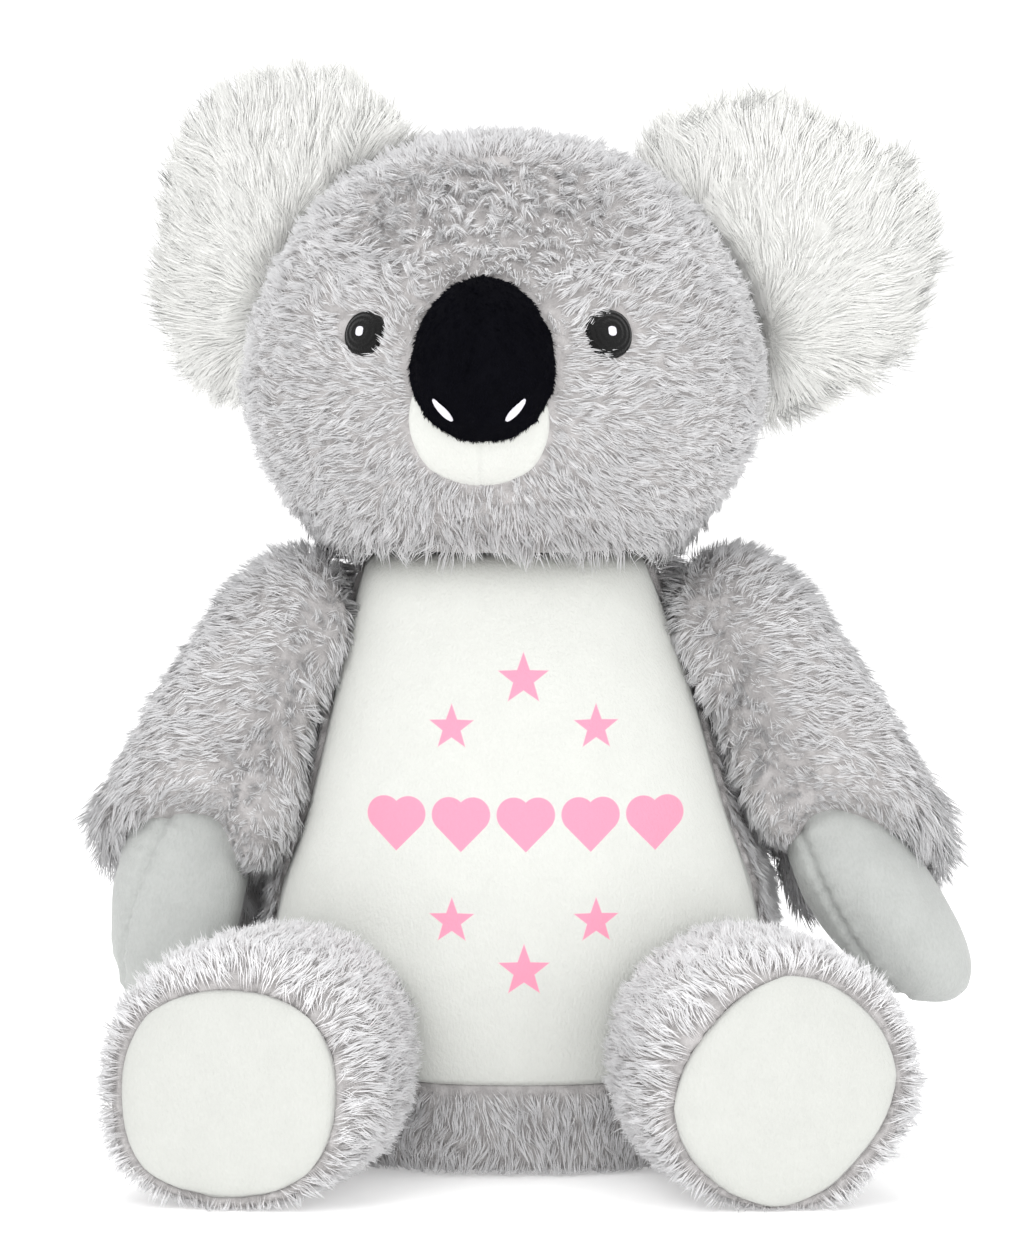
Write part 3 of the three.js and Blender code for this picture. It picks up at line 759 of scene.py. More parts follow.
def pile(name, form, body, paint, seed, density, length, width, flow, keep,
         lift, stray=0.11, sway=0.14, curl=0.5, tuft=2.6 * MM, gather=0.6, tone=None):
    """Plants strands on a form. flow gives the way that the pile lies, keep where it grows and
    how long, as a share. lift is how far it stands up and sway how far each tuft leans its own way,
    both one number or worked out from the place. tone makes it lighter or darker."""
    dice = np.random.default_rng(seed)
    points, normals = scattered(form, density, dice)
    share = keep(points, normals)
    grown = share > 0.05
    points, normals, share = points[grown], normals[grown], share[grown]
    count = len(points)
    lay = flow(points, normals)
    lay = unit(lay - normals * (lay * normals).sum(axis=1, keepdims=True))
    swirl = np.cross(normals, lay) * (
        0.45 * ripples(points, 24 * MM, seed + 3) + 0.4 * ripples(points, 8 * MM, seed + 4))[:, None]
    lay = unit(lay + swirl)
    reach = (length * share * dice.uniform(0.7, 1.15, count))[:, None]
    up = np.reshape(lift(points, normals) if callable(lift) else lift, (-1, 1))
    tufts = tufted(points, tuft)
    swayed = np.reshape(sway(points) if callable(sway) else sway, (-1, 1))
    swayed = swayed * dice.normal(size=(tufts.max() + 1, 3))[tufts]
    first = unit(normals * up + lay * (1 - up) + swayed + dice.normal(0, stray, (count, 3)))
    second = unit(first + lay * curl + swayed + dice.normal(0, stray, (count, 3)))
    roots = points - normals * (0.6 * MM)
    middles = roots + first * reach * 0.5
    tips = middles + second * reach * 0.5
    pull = gather * dice.uniform(0.5, 1.2, count)[:, None]
    tips += (mean_by(tufts, tips) - tips) * pull
    middles += (mean_by(tufts, middles) - middles) * pull * 0.4
    middles[:, 2] = np.maximum(middles[:, 2], 0.6 * MM)
    tips[:, 2] = np.maximum(tips[:, 2], 0.3 * MM)
    axis = unit(tips - roots)
    beside = unit(np.cross(axis, unit(dice.normal(size=(count, 3)))))
    behind = np.cross(axis, beside)
    half = (width / 2 * dice.uniform(0.75, 1.2, count))[:, None]
    shade = 0.5 + 0.04 * dice.normal(size=tufts.max() + 1)[tufts] + 0.025 * dice.normal(size=count)
    shade += 0.03 * ripples(points, 35 * MM, seed + 5)
    if tone is not None:
        shade += tone(points, normals)
    shade = np.clip(shade, 0.02, 0.96)
    order = np.argsort(points[:, 0], kind="stable")
    pieces = np.array_split(order, math.ceil(count / MOST_STRANDS))
    for number, chosen in enumerate(pieces, 1):
        piece = name if len(pieces) == 1 else f"{name}_{number}"
        strands = [part[chosen] for part in (roots, middles, tips, beside, behind, half, normals, axis)]
        obj = planted(piece, strands, shade[chosen], paint)
        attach(obj, body)


def planted(name, strands, shade, paint):
    """One piece of pile: a spindle for each strand, coloured along it and from strand to strand."""
    roots, middles, tips, beside, behind, half, normals, axis = strands
    count = len(roots)
    rows = []
    for x, y, z in STRAND_POINTS:
        line = roots if z < 0.25 else tips if z > 0.75 else middles
        rows.append(line + (beside * x + behind * y) * half)
    places = np.stack(rows, axis=1)
    corners = (STRAND_FACES[None] + (np.arange(count) * len(STRAND_POINTS))[:, None, None]).ravel()
    mesh = bpy.data.meshes.new(name)
    mesh.vertices.add(places.shape[0] * places.shape[1])
    mesh.vertices.foreach_set("co", places.astype(np.float32).ravel())
    mesh.loops.add(len(corners))
    mesh.loops.foreach_set("vertex_index", corners.astype(np.int32))
    mesh.polygons.add(len(corners) // 3)
    mesh.polygons.foreach_set("loop_start", np.arange(0, len(corners), 3, dtype=np.int32))
    mesh.update(calc_edges=True)
    uv = mesh.uv_layers.new(name="OFBake")
    template = STRAND_POINTS[STRAND_FACES.ravel()]
    along = np.tile(template[:, 2], count)
    beside_uv = np.tile(template[:, 0] * 0.012, count)
    across = np.repeat(shade, len(template)) + beside_uv + 0.012
    uv.data.foreach_set("uv", np.stack([along, across], axis=1).astype(np.float32).ravel())
    mesh.shade_smooth()
    own = np.stack([(beside * x + behind * y) for x, y, z in STRAND_POINTS], axis=1)
    shading = normals[:, None, :] + own * 0.12 + axis[:, None, :] * 0.08
    shading /= np.linalg.norm(shading, axis=2, keepdims=True)
    mesh.normals_split_custom_set_from_vertices(shading.reshape(-1, 3).tolist())
    mesh.materials.append(paint)
    return in_scene(name, mesh)


# Working forms of the stuffed pieces, by their keys
forms = {}


def body_form(key, nodes, voxel=4 * MM, smooth=8, cap=2.5 * MM):
    """A stuffed form from solids of the frame, kept under its key."""
    obj = remeshed(gathered(key, nodes), voxel, smooth)
    filled(obj, cap)
    forms[key] = subdivided(obj)
    return forms[key]


def copied(obj, name):
    return in_scene(name, obj.data.copy())


def finished(obj, body, paint, replaced):
    """Shades a padded piece, paints it and ties it to the frame."""
    obj.data.materials.clear()
    obj.data.materials.append(paint)
    smooth_shaded(obj)
    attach(obj, body)
    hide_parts(*replaced)
    return obj


def dropped(obj):
    """Drops a working form that isn't shown."""
    mesh = obj.data
    bpy.data.objects.remove(obj)
    bpy.data.meshes.remove(mesh)


class KoalaColours(bpy.types.PropertyGroup):
    """Colours of the cloths, the pile and the print"""

    grey_tip: FloatVectorProperty(
        name="Grey tip", description="Colour of the grey pile at its tips",
        subtype="COLOR", min=0, max=1, default=(0.72, 0.72, 0.73))
    # Darker than the tip: painted shade deep in the pile.
    grey_shaded_root: FloatVectorProperty(
        name="Grey root", description="Colour of the grey pile at its roots",
        subtype="COLOR", min=0, max=1, default=(0.61, 0.59, 0.59))
    white_tip: FloatVectorProperty(
        name="White tip", description="Colour of the white ear pile at its tips",
        subtype="COLOR", min=0, max=1, default=(0.86, 0.86, 0.835))
    white_root: FloatVectorProperty(
        name="White root", description="Colour of the white ear pile at its roots",
        subtype="COLOR", min=0, max=1, default=(0.85, 0.85, 0.825))
    white_velour: FloatVectorProperty(
        name="White velour", description="Colour of the belly, chin and soles",
        subtype="COLOR", min=0, max=1, default=(0.70, 0.71, 0.675))
    grey_velour: FloatVectorProperty(
        name="Grey velour", description="Colour of the paws",
        subtype="COLOR", min=0, max=1, default=(0.50, 0.515, 0.50))
    dark_velour: FloatVectorProperty(
        name="Dark velour", description="Colour of the nose",
        subtype="COLOR", min=0, max=1, default=(0.004, 0.004, 0.006))
    print_pink: FloatVectorProperty(
        name="Print", description="Colour of the printed stars and hearts",
        subtype="COLOR", min=0, max=1, default=(0.88, 0.32, 0.45))


class KoalaSizes(bpy.types.PropertyGroup):
    """Lengths, width and density of the pile"""

    head_pile: FloatProperty(
        name="Head pile", description="Length of the pile on the head",
        unit="LENGTH", default=6.2 * MM)
    body_pile: FloatProperty(
        name="Body pile", description="Length of the pile on torso, arms and legs",
        unit="LENGTH", default=6.8 * MM)
    ear_pile: FloatProperty(
        name="Ear pile", description="Length of the white pile on the ears",
        unit="LENGTH", default=14 * MM)
    strand_width: FloatProperty(
        name="Strand width", description="Width of one strand of pile at its middle",
        unit="LENGTH", default=0.3 * MM)
    density: FloatProperty(
        name="Density", description="Strands on a square millimetre", default=1.5)


class KoalaStage(bpy.types.Operator):
    """Floor, backdrop, lights and camera"""

    bl_idname = "koala.stage"
    bl_label = "Stage"

    def execute(self, context):
        scene = context.scene
        work = bmesh.new()
        bmesh.ops.create_grid(work, x_segments=1, y_segments=1, size=FLOOR_HALF)
        back = [e for e in work.edges if min(v.co.y for v in e.verts) > 0.9 * FLOOR_HALF]

        def drawn_out():
            """Draws a new row out of the paper's back edge, and returns its points."""
            made = bmesh.ops.extrude_edge_only(work, edges=back)["geom"]
            back[:] = [part for part in made if isinstance(part, bmesh.types.BMEdge)]
            return {vertex for edge in back for vertex in edge.verts}

        for step in range(1, CURVE_STEPS + 1):
            turn = math.pi / 2 * step / CURVE_STEPS
            for vertex in drawn_out():
                vertex.co.y = FLOOR_HALF + CURVE_RADIUS * math.sin(turn)
                vertex.co.z = CURVE_RADIUS * (1 - math.cos(turn))
        for vertex in drawn_out():
            vertex.co.z += FLOOR_HALF
        floor = smooth_shaded(named(work, "floor"))
        paint = Paint("stage_paper", roughness=0.9, colour=(0.92, 0.92, 0.92), specular=0.1)
        paint.glow((1, 1, 1), PAPER_LIGHT)
        floor.data.materials.append(paint.material)

        data = bpy.data.cameras.new("camera")
        data.sensor_fit = "HORIZONTAL"
        data.sensor_width = SENSOR_WIDTH
        data.lens = FOCAL_LENGTH / PHOTO_WIDTH * SENSOR_WIDTH
        data.clip_end = 20
        camera = in_scene("camera", data)
        camera.location = CAMERA_PLACE
        camera.rotation_euler = (math.radians(CAMERA_TILT), 0, 0)
        scene.camera = camera

        for name, size, power, place, aim in LAMPS:
            lamp = bpy.data.lights.new(name, "AREA")
            lamp.size = size
            lamp.energy = power
            light = in_scene(name, lamp)
            light.location = place
            light.rotation_euler = (Vector(aim) - Vector(place)).to_track_quat("-Z", "Y").to_euler()
        world = bpy.data.worlds.new("studio")
        world.use_nodes = True
        background = world.node_tree.nodes["Background"].inputs
        background["Color"].default_value = (1, 1, 1, 1)
        background["Strength"].default_value = WORLD_LIGHT
        scene.world = world
        scene.view_settings.view_transform = "Standard"
        return {"FINISHED"}


def panel_foot(share):
    """Level of the belly panel's lower edge, from its middle at 0 to its side at 1."""
    return PANEL_BOTTOM + PANEL_CORNER * (1 - (1 - share ** PANEL_CURVE) ** (1 / PANEL_CURVE))


def on_panel(points):
    """Whether points lie behind the belly panel or close beside it, seen from the front."""
    z = points[:, 2]
    x = np.abs(points[:, 0] - np.interp(z, PANEL_HEIGHTS, PANEL_MIDDLES))
    half = np.interp(z, PANEL_HEIGHTS, PANEL_WIDTHS)
    share = np.clip(x / PANEL_WIDTHS[0], 0, 1)
    inside = (x < half + PANEL_MARGIN) & (z > panel_foot(share) - PANEL_MARGIN)
    return inside & (z < PANEL_TOP + PANEL_MARGIN) & (points[:, 1] < 0)


def grey(context):
    colours = context.scene.koala_colours
    if "grey_pile" not in bpy.data.materials:
        pile_paint("grey_pile", colours.grey_shaded_root, colours.grey_tip)
    return bpy.data.materials["grey_pile"]


def grey_backing(context):
    if "grey_backing" not in bpy.data.materials:
        backing_paint("grey_backing", (0.37, 0.355, 0.353), (0.49, 0.473, 0.47))
    return bpy.data.materials["grey_backing"]


def neck_lift(points, normals):
    """Pile that stands up a little where the neck, the shoulders and the head meet."""
    return 0.34 + 0.4 * eased(points[:, 2], *NECK_RISE)


def limited(keep, chosen):
    """Pile where keep lets it grow, but only on the points that are chosen."""
    return lambda points, normals: keep(points, normals) * chosen(points)


class KoalaTorso(bpy.types.Operator):
    """Torso skin with its pile, and the belly panel with its print"""

    bl_idname = "koala.torso"
    bl_label = "Torso"

    def execute(self, context):
        colours = context.scene.koala_colours
        sizes = context.scene.koala_sizes
        form = body_form("torso", ["torso_fur", "belly_panel", "torso_stuffing"])
        skin = copied(form, "torso_skin")
        swollen(skin, lambda points: -PANEL_DEPTH * on_panel(points) - SKIN_DEPTH)
        finished(skin, "torso", grey_backing(context), ["torso_fur", "torso_stuffing"])

        arms = [tree_of(arm_form(side)) for side in SIDES]
        legs = [tree_of(leg_form(side)) for side in SIDES]

        def keep(points, normals):
            share = np.where(on_panel(points), 0.0, 1.0)
            share[normals[:, 2] > 0.97] = 0
            share[normals[:, 2] < -0.75] *= 0.35
            share *= 1 + 0.7 * eased(points[:, 2], *NECK_RISE)
            return share * open_to_air(points, normals, arms + legs)

        def flow(points, normals):
            return np.tile((0.0, 0.1, -1.0), (len(points), 1))

        front = limited(keep, lambda points: points[:, 1] < 0)
        back = limited(keep, lambda points: points[:, 1] >= 0)
        pile("torso_pile_front", form, "torso", grey(context), 20, sizes.density,
             sizes.body_pile, sizes.strand_width, flow, front, lift=neck_lift)
        pile("torso_pile_back", form, "torso", grey(context), 21, 0.5 * sizes.density,
             sizes.body_pile, 1.5 * sizes.strand_width, flow, back, lift=neck_lift)

        tree = tree_of(form)

        def on_belly(s, t):
            bottom = panel_foot(np.abs(s))
            z = bottom + (PANEL_TOP - bottom) * (t + 1) / 2
            x = np.interp(z, PANEL_HEIGHTS, PANEL_MIDDLES) + s * np.interp(z, PANEL_HEIGHTS, PANEL_WIDTHS)
            starts = np.stack([x, np.full_like(x, -0.3), z], axis=1)
            places, facing = cast(tree, starts, (0, 1, 0))
            return places + facing * 0.2 * MM, facing

        belly = patch("belly_velour", on_belly, 90, 70, VELOUR_THICKNESS, 1.2 * MM)
        paint, base, place = velour_paint("belly_cloth", colours.white_velour, 0.93)
        x, _, z = paint.parts(place)
        printed = printed_hearts(x, z)
        for star in STARS:
            printed = printed.larger(printed_star(x, z, star))
        paint.colour(paint.mix(printed, base, tuple(colours.print_pink)))
        finished(belly, "torso", paint.material, ["belly_panel"])
        return {"FINISHED"}


def arm_form(side):
    """The sleeve with the paw's root in it, set under the pile."""
    key = f"arm_{side}"
    if key not in forms:
        nodes = [f"sleeve_{side}", f"arm_stuffing_{side}"]
        obj = remeshed(gathered(key, nodes), 3 * MM, 6)
        work = opened(obj.data)
        plane = cuff_frame(side)
        geometry = list(work.verts) + list(work.edges) + list(work.faces)
        cut = bmesh.ops.bisect_plane(
            work, geom=geometry, plane_co=plane.translation, plane_no=plane.to_3x3().col[2],
            clear_inner=True)
        edges = [g for g in cut["geom_cut"] if isinstance(g, bmesh.types.BMEdge)]
        bmesh.ops.holes_fill(work, edges=edges, sides=0)
        bmesh.ops.triangulate(work, faces=[f for f in work.faces if len(f.verts) > 4])
        dropped(obj)
        obj = remeshed(named(work, key), 3 * MM, 4)

        def sagging(points):
            x, _, z = local_mm(points, arm_frame(side))
            inner = eased(-SIDES[side] * x, 0, 20)
            return inner * (SAG[side] * eased(-z, 25, 60) + NECK_REACH * eased(z, -35, -10))

        swollen(obj, sagging)
        places = places_of(obj.data)
        x, _, z = local_mm(places, arm_frame(side))
        inner, outer = HEM_DROP[side]
        aside = SIDES[side] * x
        drop = inner * eased(-aside, 2, 20) + outer * eased(aside, 2, 20)
        drop *= eased(-z, 45, 75) * MM
        shaped(obj, places - drop[:, None] * np.array(arm_frame(side))[:3, 2])
        filled(obj, 1.5 * MM)
        forms[key] = subdivided(obj)
    return forms[key]


def leg_form(side):
    """The leg with its sole; its lower outer corner sags out or draws in."""
    key = f"leg_{side}"
    if key not in forms:
        nodes = [f"leg_fur_{side}", f"sole_{side}", f"leg_stuffing_{side}"]
        form = body_form(key, nodes, 3.5 * MM, 6, 2 * MM)
        places = places_of(form.data)
        x, y, z = local_mm(places, leg_frame(side))
        share = eased(SIDES[side] * x, 8, 30) * eased(28 - z, 0, 24) * eased(-y, 40, 90)
        places[:, 0] += SIDES[side] * LEG_SAG[side] * share
        shaped(form, places)
    return forms[key]


def past_sole(x, z, side):
    """How far places in the leg's frame, in millimetres, stand outside the sole's outline, as a share."""
    across, up, wide, high, lean = SOLES[side]
    lean = math.radians(lean)
    dx = x - across
    dz = z - up
    along = dx * math.cos(lean) + dz * math.sin(lean)
    beside = dz * math.cos(lean) - dx * math.sin(lean)
    return np.sum(np.abs([along / wide, beside / high]) ** SQUARE, axis=0) ** (1 / SQUARE) - 1


class KoalaHead(bpy.types.Operator):
    """Head skin with its pile"""

    bl_idname = "koala.head"
    bl_label = "Head"

    def execute(self, context):
        sizes = context.scene.koala_sizes
        form = body_form("head", ["head_fur", "head_stuffing"])
        swollen(form, 2.2 * MM * eased(normals_of(form.data)[:, 2], 0.4, 0.9))
        skin = copied(form, "head_skin")
        finished(skin, "head", grey_backing(context), ["head_fur", "head_stuffing"])
        head = head_frame()

        chin_x, chin_z = (value / MM for value in CHIN_PLACE)

        def past_nose(x, z):
            """How far places stand outside the nose's outline, in millimetres."""
            across, up = NOSE_MIDDLE
            wide, high = NOSE_HALF
            return (np.hypot((x - across) / wide, (z - up) / high) - 1) * NOSE_REACH

        def clearings(points):
            """How far each point is from the nose, the chin patch and the eyes."""
            x, y, z = local_mm(points, head)
            low = np.where(z > chin_z, 2.5, 1)
            chin = np.hypot((x - chin_x) / 19.2, (z - chin_z) * low / 16.4) - 1
            eyes = np.hypot(np.abs(x) - EYE_MIDDLE[0], z - EYE_MIDDLE[1]) - EYE_CLEARING
            far = np.minimum(np.minimum(past_nose(x, z), chin * 18), eyes)
            return np.where(y < -20, far, 50)

        def parting(points):
            """1 along the seam that runs down from the chin patch."""
            x, y, z = local_mm(points, head)
            return np.exp(-((x - chin_x) / 1.3) ** 2) * (z < 24) * (y < 0)

        def keep(points, normals):
            far = clearings(points)
            share = 0.8 + 0.2 * eased(far, 0, 8)
            share[far < -0.6] = 0
            share[normals[:, 2] < -0.9] = 0
            low = 1 - eased(local_mm(points, head)[2], 2, 12)
            return share * (1 - 0.5 * parting(points)) * (1 + 0.75 * low)

        def over_nose(points):
            """1 along the upper edge of the nose, where the pile leans over it."""
            x, _, z = local_mm(points, head)
            return np.exp(-np.clip(past_nose(x, z), 0, 9) / 1.3) * eased(z, 50, 62)

        def brow(points):
            """1 on the forehead, between and above the eyes."""
            x, y, z = local_mm(points, head)
            wide, high = BROW_HALF
            return np.exp(-(x / wide) ** 2 - ((z - BROW_HEIGHT) / high) ** 2) * (y < 0)

        def flow(points, normals):
            x, _, z = local_mm(points, head)
            away = np.stack([x, np.zeros_like(x) + 22, z - 44], axis=1)
            down = np.stack([0.2 * x, 0 * x, 0 * x - 30], axis=1)
            low = eased(30 - z, 0, 40)[:, None]
            over = np.clip(1.4 * brow(points), 0, 1)[:, None]
            way = unit(away) * (1 - low) + unit(down) * low
            way *= 1 - 1.8 * over_nose(points)[:, None]
            return outward_of(way * (1 - over) + np.array((0, -0.6, -0.4)) * over, head)

        def lift(points, normals):
            return np.clip(0.34 + 0.5 * brow(points) + 0.25 * over_nose(points), 0, 0.85)

        def sway(points):
            return 0.13 + 0.25 * brow(points)

        # Painted shade: the forehead's pile is darker in specks, for the shade in the gaps between its
        # tufts, and a little lighter around them.
        def tone(points, normals):
            shade_specks = eased(ripples(points, 3.5 * MM, 41), 0.0, 0.55)
            return (0.09 - 0.27 * shade_specks) * brow(points) - 0.16 * parting(points)

        def in_front(points):
            return locally(points, head)[:, 1] < -0.004

        front = limited(keep, in_front)
        back = limited(keep, lambda points: ~in_front(points))
        pile("head_pile_front", form, "head", grey(context), 30, 1.2 * sizes.density,
             sizes.head_pile, sizes.strand_width, flow, front, lift=lift, sway=sway, tone=tone)
        pile("head_pile_back", form, "head", grey(context), 31, 0.55 * sizes.density,
             sizes.head_pile, 1.4 * sizes.strand_width, flow, back, lift=0.45)
        return {"FINISHED"}


class KoalaFace(bpy.types.Operator):
    """Nose, nostrils, chin patch and eyes"""

    bl_idname = "koala.face"
    bl_label = "Face"

    def execute(self, context):
        colours = context.scene.koala_colours
        head = head_frame()
        nose = remeshed(gathered("nose", ["nose_pad"]), 2 * MM, 6)
        filled(nose, 1 * MM)
        nose = subdivided(nose)
        cloth = plain_velour("nose_cloth", colours.dark_velour, 0.5, 0, 0.02)
        finished(nose, "head", cloth, ["nose_pad"])

        def fuzz(points, normals):
            return np.ones(len(points))

        def down(points, normals):
            return np.tile((0.0, 0.0, -1.0), (len(points), 1))

        short = pile_paint("dark_pile", colours.dark_velour, scaled(colours.dark_velour, 1.5), 0.7, 0, 0)
        pile("nose_pile", nose, "head", short, 38, 3.0, 1.9 * MM, 0.2 * MM, down, fuzz,
             lift=0.5, tuft=2 * MM, gather=0.2)

        tree = tree_of(forms["head"])

        def on_chin(s, t):
            x, z = disc(s, t)
            near = np.stack([CHIN_PLACE[0] + x * CHIN_HALF[0], np.full_like(x, -0.2),
                             CHIN_PLACE[1] + z * CHIN_HALF[1]], axis=1)
            way = outward_of(np.array([[0.0, 1.0, 0.0]]), head)[0]
            places, facing = cast(tree, globally(near, head), tuple(way))
            crown = 3.2 * MM * (1 - np.clip(x * x + z * z, 0, 1)) ** 0.6
            crown -= 0.7 * MM * np.exp(-(x * CHIN_HALF[0] / (0.8 * MM)) ** 2)
            return places - way * crown[:, None], facing

        chin = patch("chin_velour", on_chin, 40, 40, VELOUR_THICKNESS, 1.4 * MM)
        cloth = plain_velour("chin_cloth", colours.white_velour, 0.93)
        finished(chin, "head", cloth, ["chin_patch"])

        pale = Paint("pale_thread", roughness=0.6, sheen=0.1, colour=(0.80, 0.78, 0.86))
        pale.bump(pale.noise(pale.place(), 0.5 * MM, 2), 0.3 * MM)
        for side in SIDES:
            low, high = (Vector(corner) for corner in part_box(f"eye_{side}"))
            middle = (low + high) / 2
            place, normal, _, _ = tree.find_nearest(middle)
            ring = Matrix.Translation(place) @ normal.to_track_quat("Z", "Y").to_matrix().to_4x4()
            eye = rounded(f"eye_thread_{side}", ring, EYE_RADIUS[side], EYE_DOME, disc)
            dark = Paint(f"dark_thread_{side}", roughness=0.6, sheen=0.1,
                         colour=(0.006, 0.006, 0.006), specular=0.15)
            rings(dark, place)
            finished(eye, "head", dark.material, [f"eye_{side}"])
            shine = ring @ Matrix.Translation((0, 0, EYE_DOME - 0.2 * MM))
            glint = rounded(
                f"eye_glint_thread_{side}", shine, GLINT_RADIUS, 0.5 * MM, lambda s, t: (0.85 * s, t))
            finished(glint, "head", pale.material, [f"eye_glint_{side}"])
            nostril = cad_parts[f"nostril_{side}"]
            nostril.data.materials.clear()
            nostril.data.materials.append(pale.material)
        return {"FINISHED"}


def ear_shaped(form, side):
    """Squares the ear's outline, upright, draws its corners out or in and presses its top down."""
    upright = ear_frame(side) @ turned(SIDES[side] * EAR_LEAN, "Y")
    places = places_of(form.data)
    near = locally(places, upright)
    far = np.maximum(np.hypot(near[:, 0], near[:, 2]), 1e-6)
    across = near[:, 0] / far * SIDES[side]
    up = near[:, 2] / far
    square = (np.abs(across) ** EAR_SQUARE + np.abs(up) ** EAR_SQUARE) ** (-1 / EAR_SQUARE) - 1
    inner_top, outer_foot, outer_top = EAR_CORNERS[side]
    corners = inner_top * eased(up - across, 0.9, 1.41)
    corners += outer_foot * eased(across - up, 0.9, 1.41) + outer_top * eased(across + up, 0.9, 1.41)
    clear_of_head = eased(up + across, -0.9, -0.3)
    growth = 1 + np.maximum(square * clear_of_head, 0) + corners
    near[:, 0] *= growth
    near[:, 2] = near[:, 2] * growth - EAR_TOP[side] * eased(up, 0.2, 0.9)
    return shaped(form, globally(near, upright))


class KoalaEars(bpy.types.Operator):
    """Ears: white fronts with long pile and grey backs"""

    bl_idname = "koala.ears"
    bl_label = "Ears"

    def execute(self, context):
        colours = context.scene.koala_colours
        sizes = context.scene.koala_sizes
        # Painted glow: the white ear pile gives off a faint even light of its own, which lifts the shade
        # between its strands.
        white = pile_paint("white_pile", colours.white_root, colours.white_tip, 0.05, glow=0.1)
        white_backing = backing_paint("white_backing", (0.62, 0.62, 0.6), (0.68, 0.68, 0.66))
        for side in SIDES:
            ear = ear_frame(side)

            def flow(points, normals):
                near = locally(points, ear)
                across = near[:, 0] + SIDES[side] * 0.014
                away = np.stack([across, 0 * across, near[:, 2] + 0.014], axis=1)
                return outward_of(away + np.array((0, 0, 0.004)), ear)

            def rim(points):
                """0 in the middle of the ear, 1 at its edge."""
                x, _, z = local_mm(points, ear)
                return eased(np.hypot(x / EAR_HALF[0], z / EAR_HALF[1]), 0.45, 1)

            for part, facing, cloth, fur, slot, length in (
                ("front", -1, white_backing, white, "white_fur", sizes.ear_pile),
                ("back", 1, grey_backing(context), grey(context), "grey_fur", 1.25 * sizes.body_pile),
            ):
                form = remeshed(gathered(f"ear_{part}_pad_{side}", [f"ear_{part}_{side}"]), 2.5 * MM, 5)
                filled(form, 1 * MM)
                form = swollen(ear_shaped(subdivided(form), side), 1 * MM)
                finished(form, f"ear_{side}", cloth, [f"ear_{part}_{side}"])

                def keep(points, normals):
                    x, _, z = local_mm(points, ear)
                    turned_in = outward_of(normals, ear.inverted())
                    if part == "front":
                        return eased(-turned_in[:, 1], -0.75, -0.3) * (0.72 + 0.42 * rim(points))
                    top = eased(-SIDES[side] * x, 4, 20) * eased(z, 0, 20)
                    return eased(turned_in[:, 1], 0.1 - 0.6 * top, 0.5 - 0.6 * top) * (0.7 + 0.6 * top)

                def lift(points, normals):
                    return 0.16 + 0.18 * rim(points)

                pile(f"ear_{part}_pile_{side}", form, f"ear_{side}", fur, 40 + facing + 5 * SIDES[side],
                     (2.2 if part == "front" else 1) * sizes.density, length,
                     0.8 * sizes.strand_width, flow, keep,
                     lift=lift, stray=0.09, sway=0.1, curl=0.4, tuft=3.5 * MM, gather=0.4)
        return {"FINISHED"}


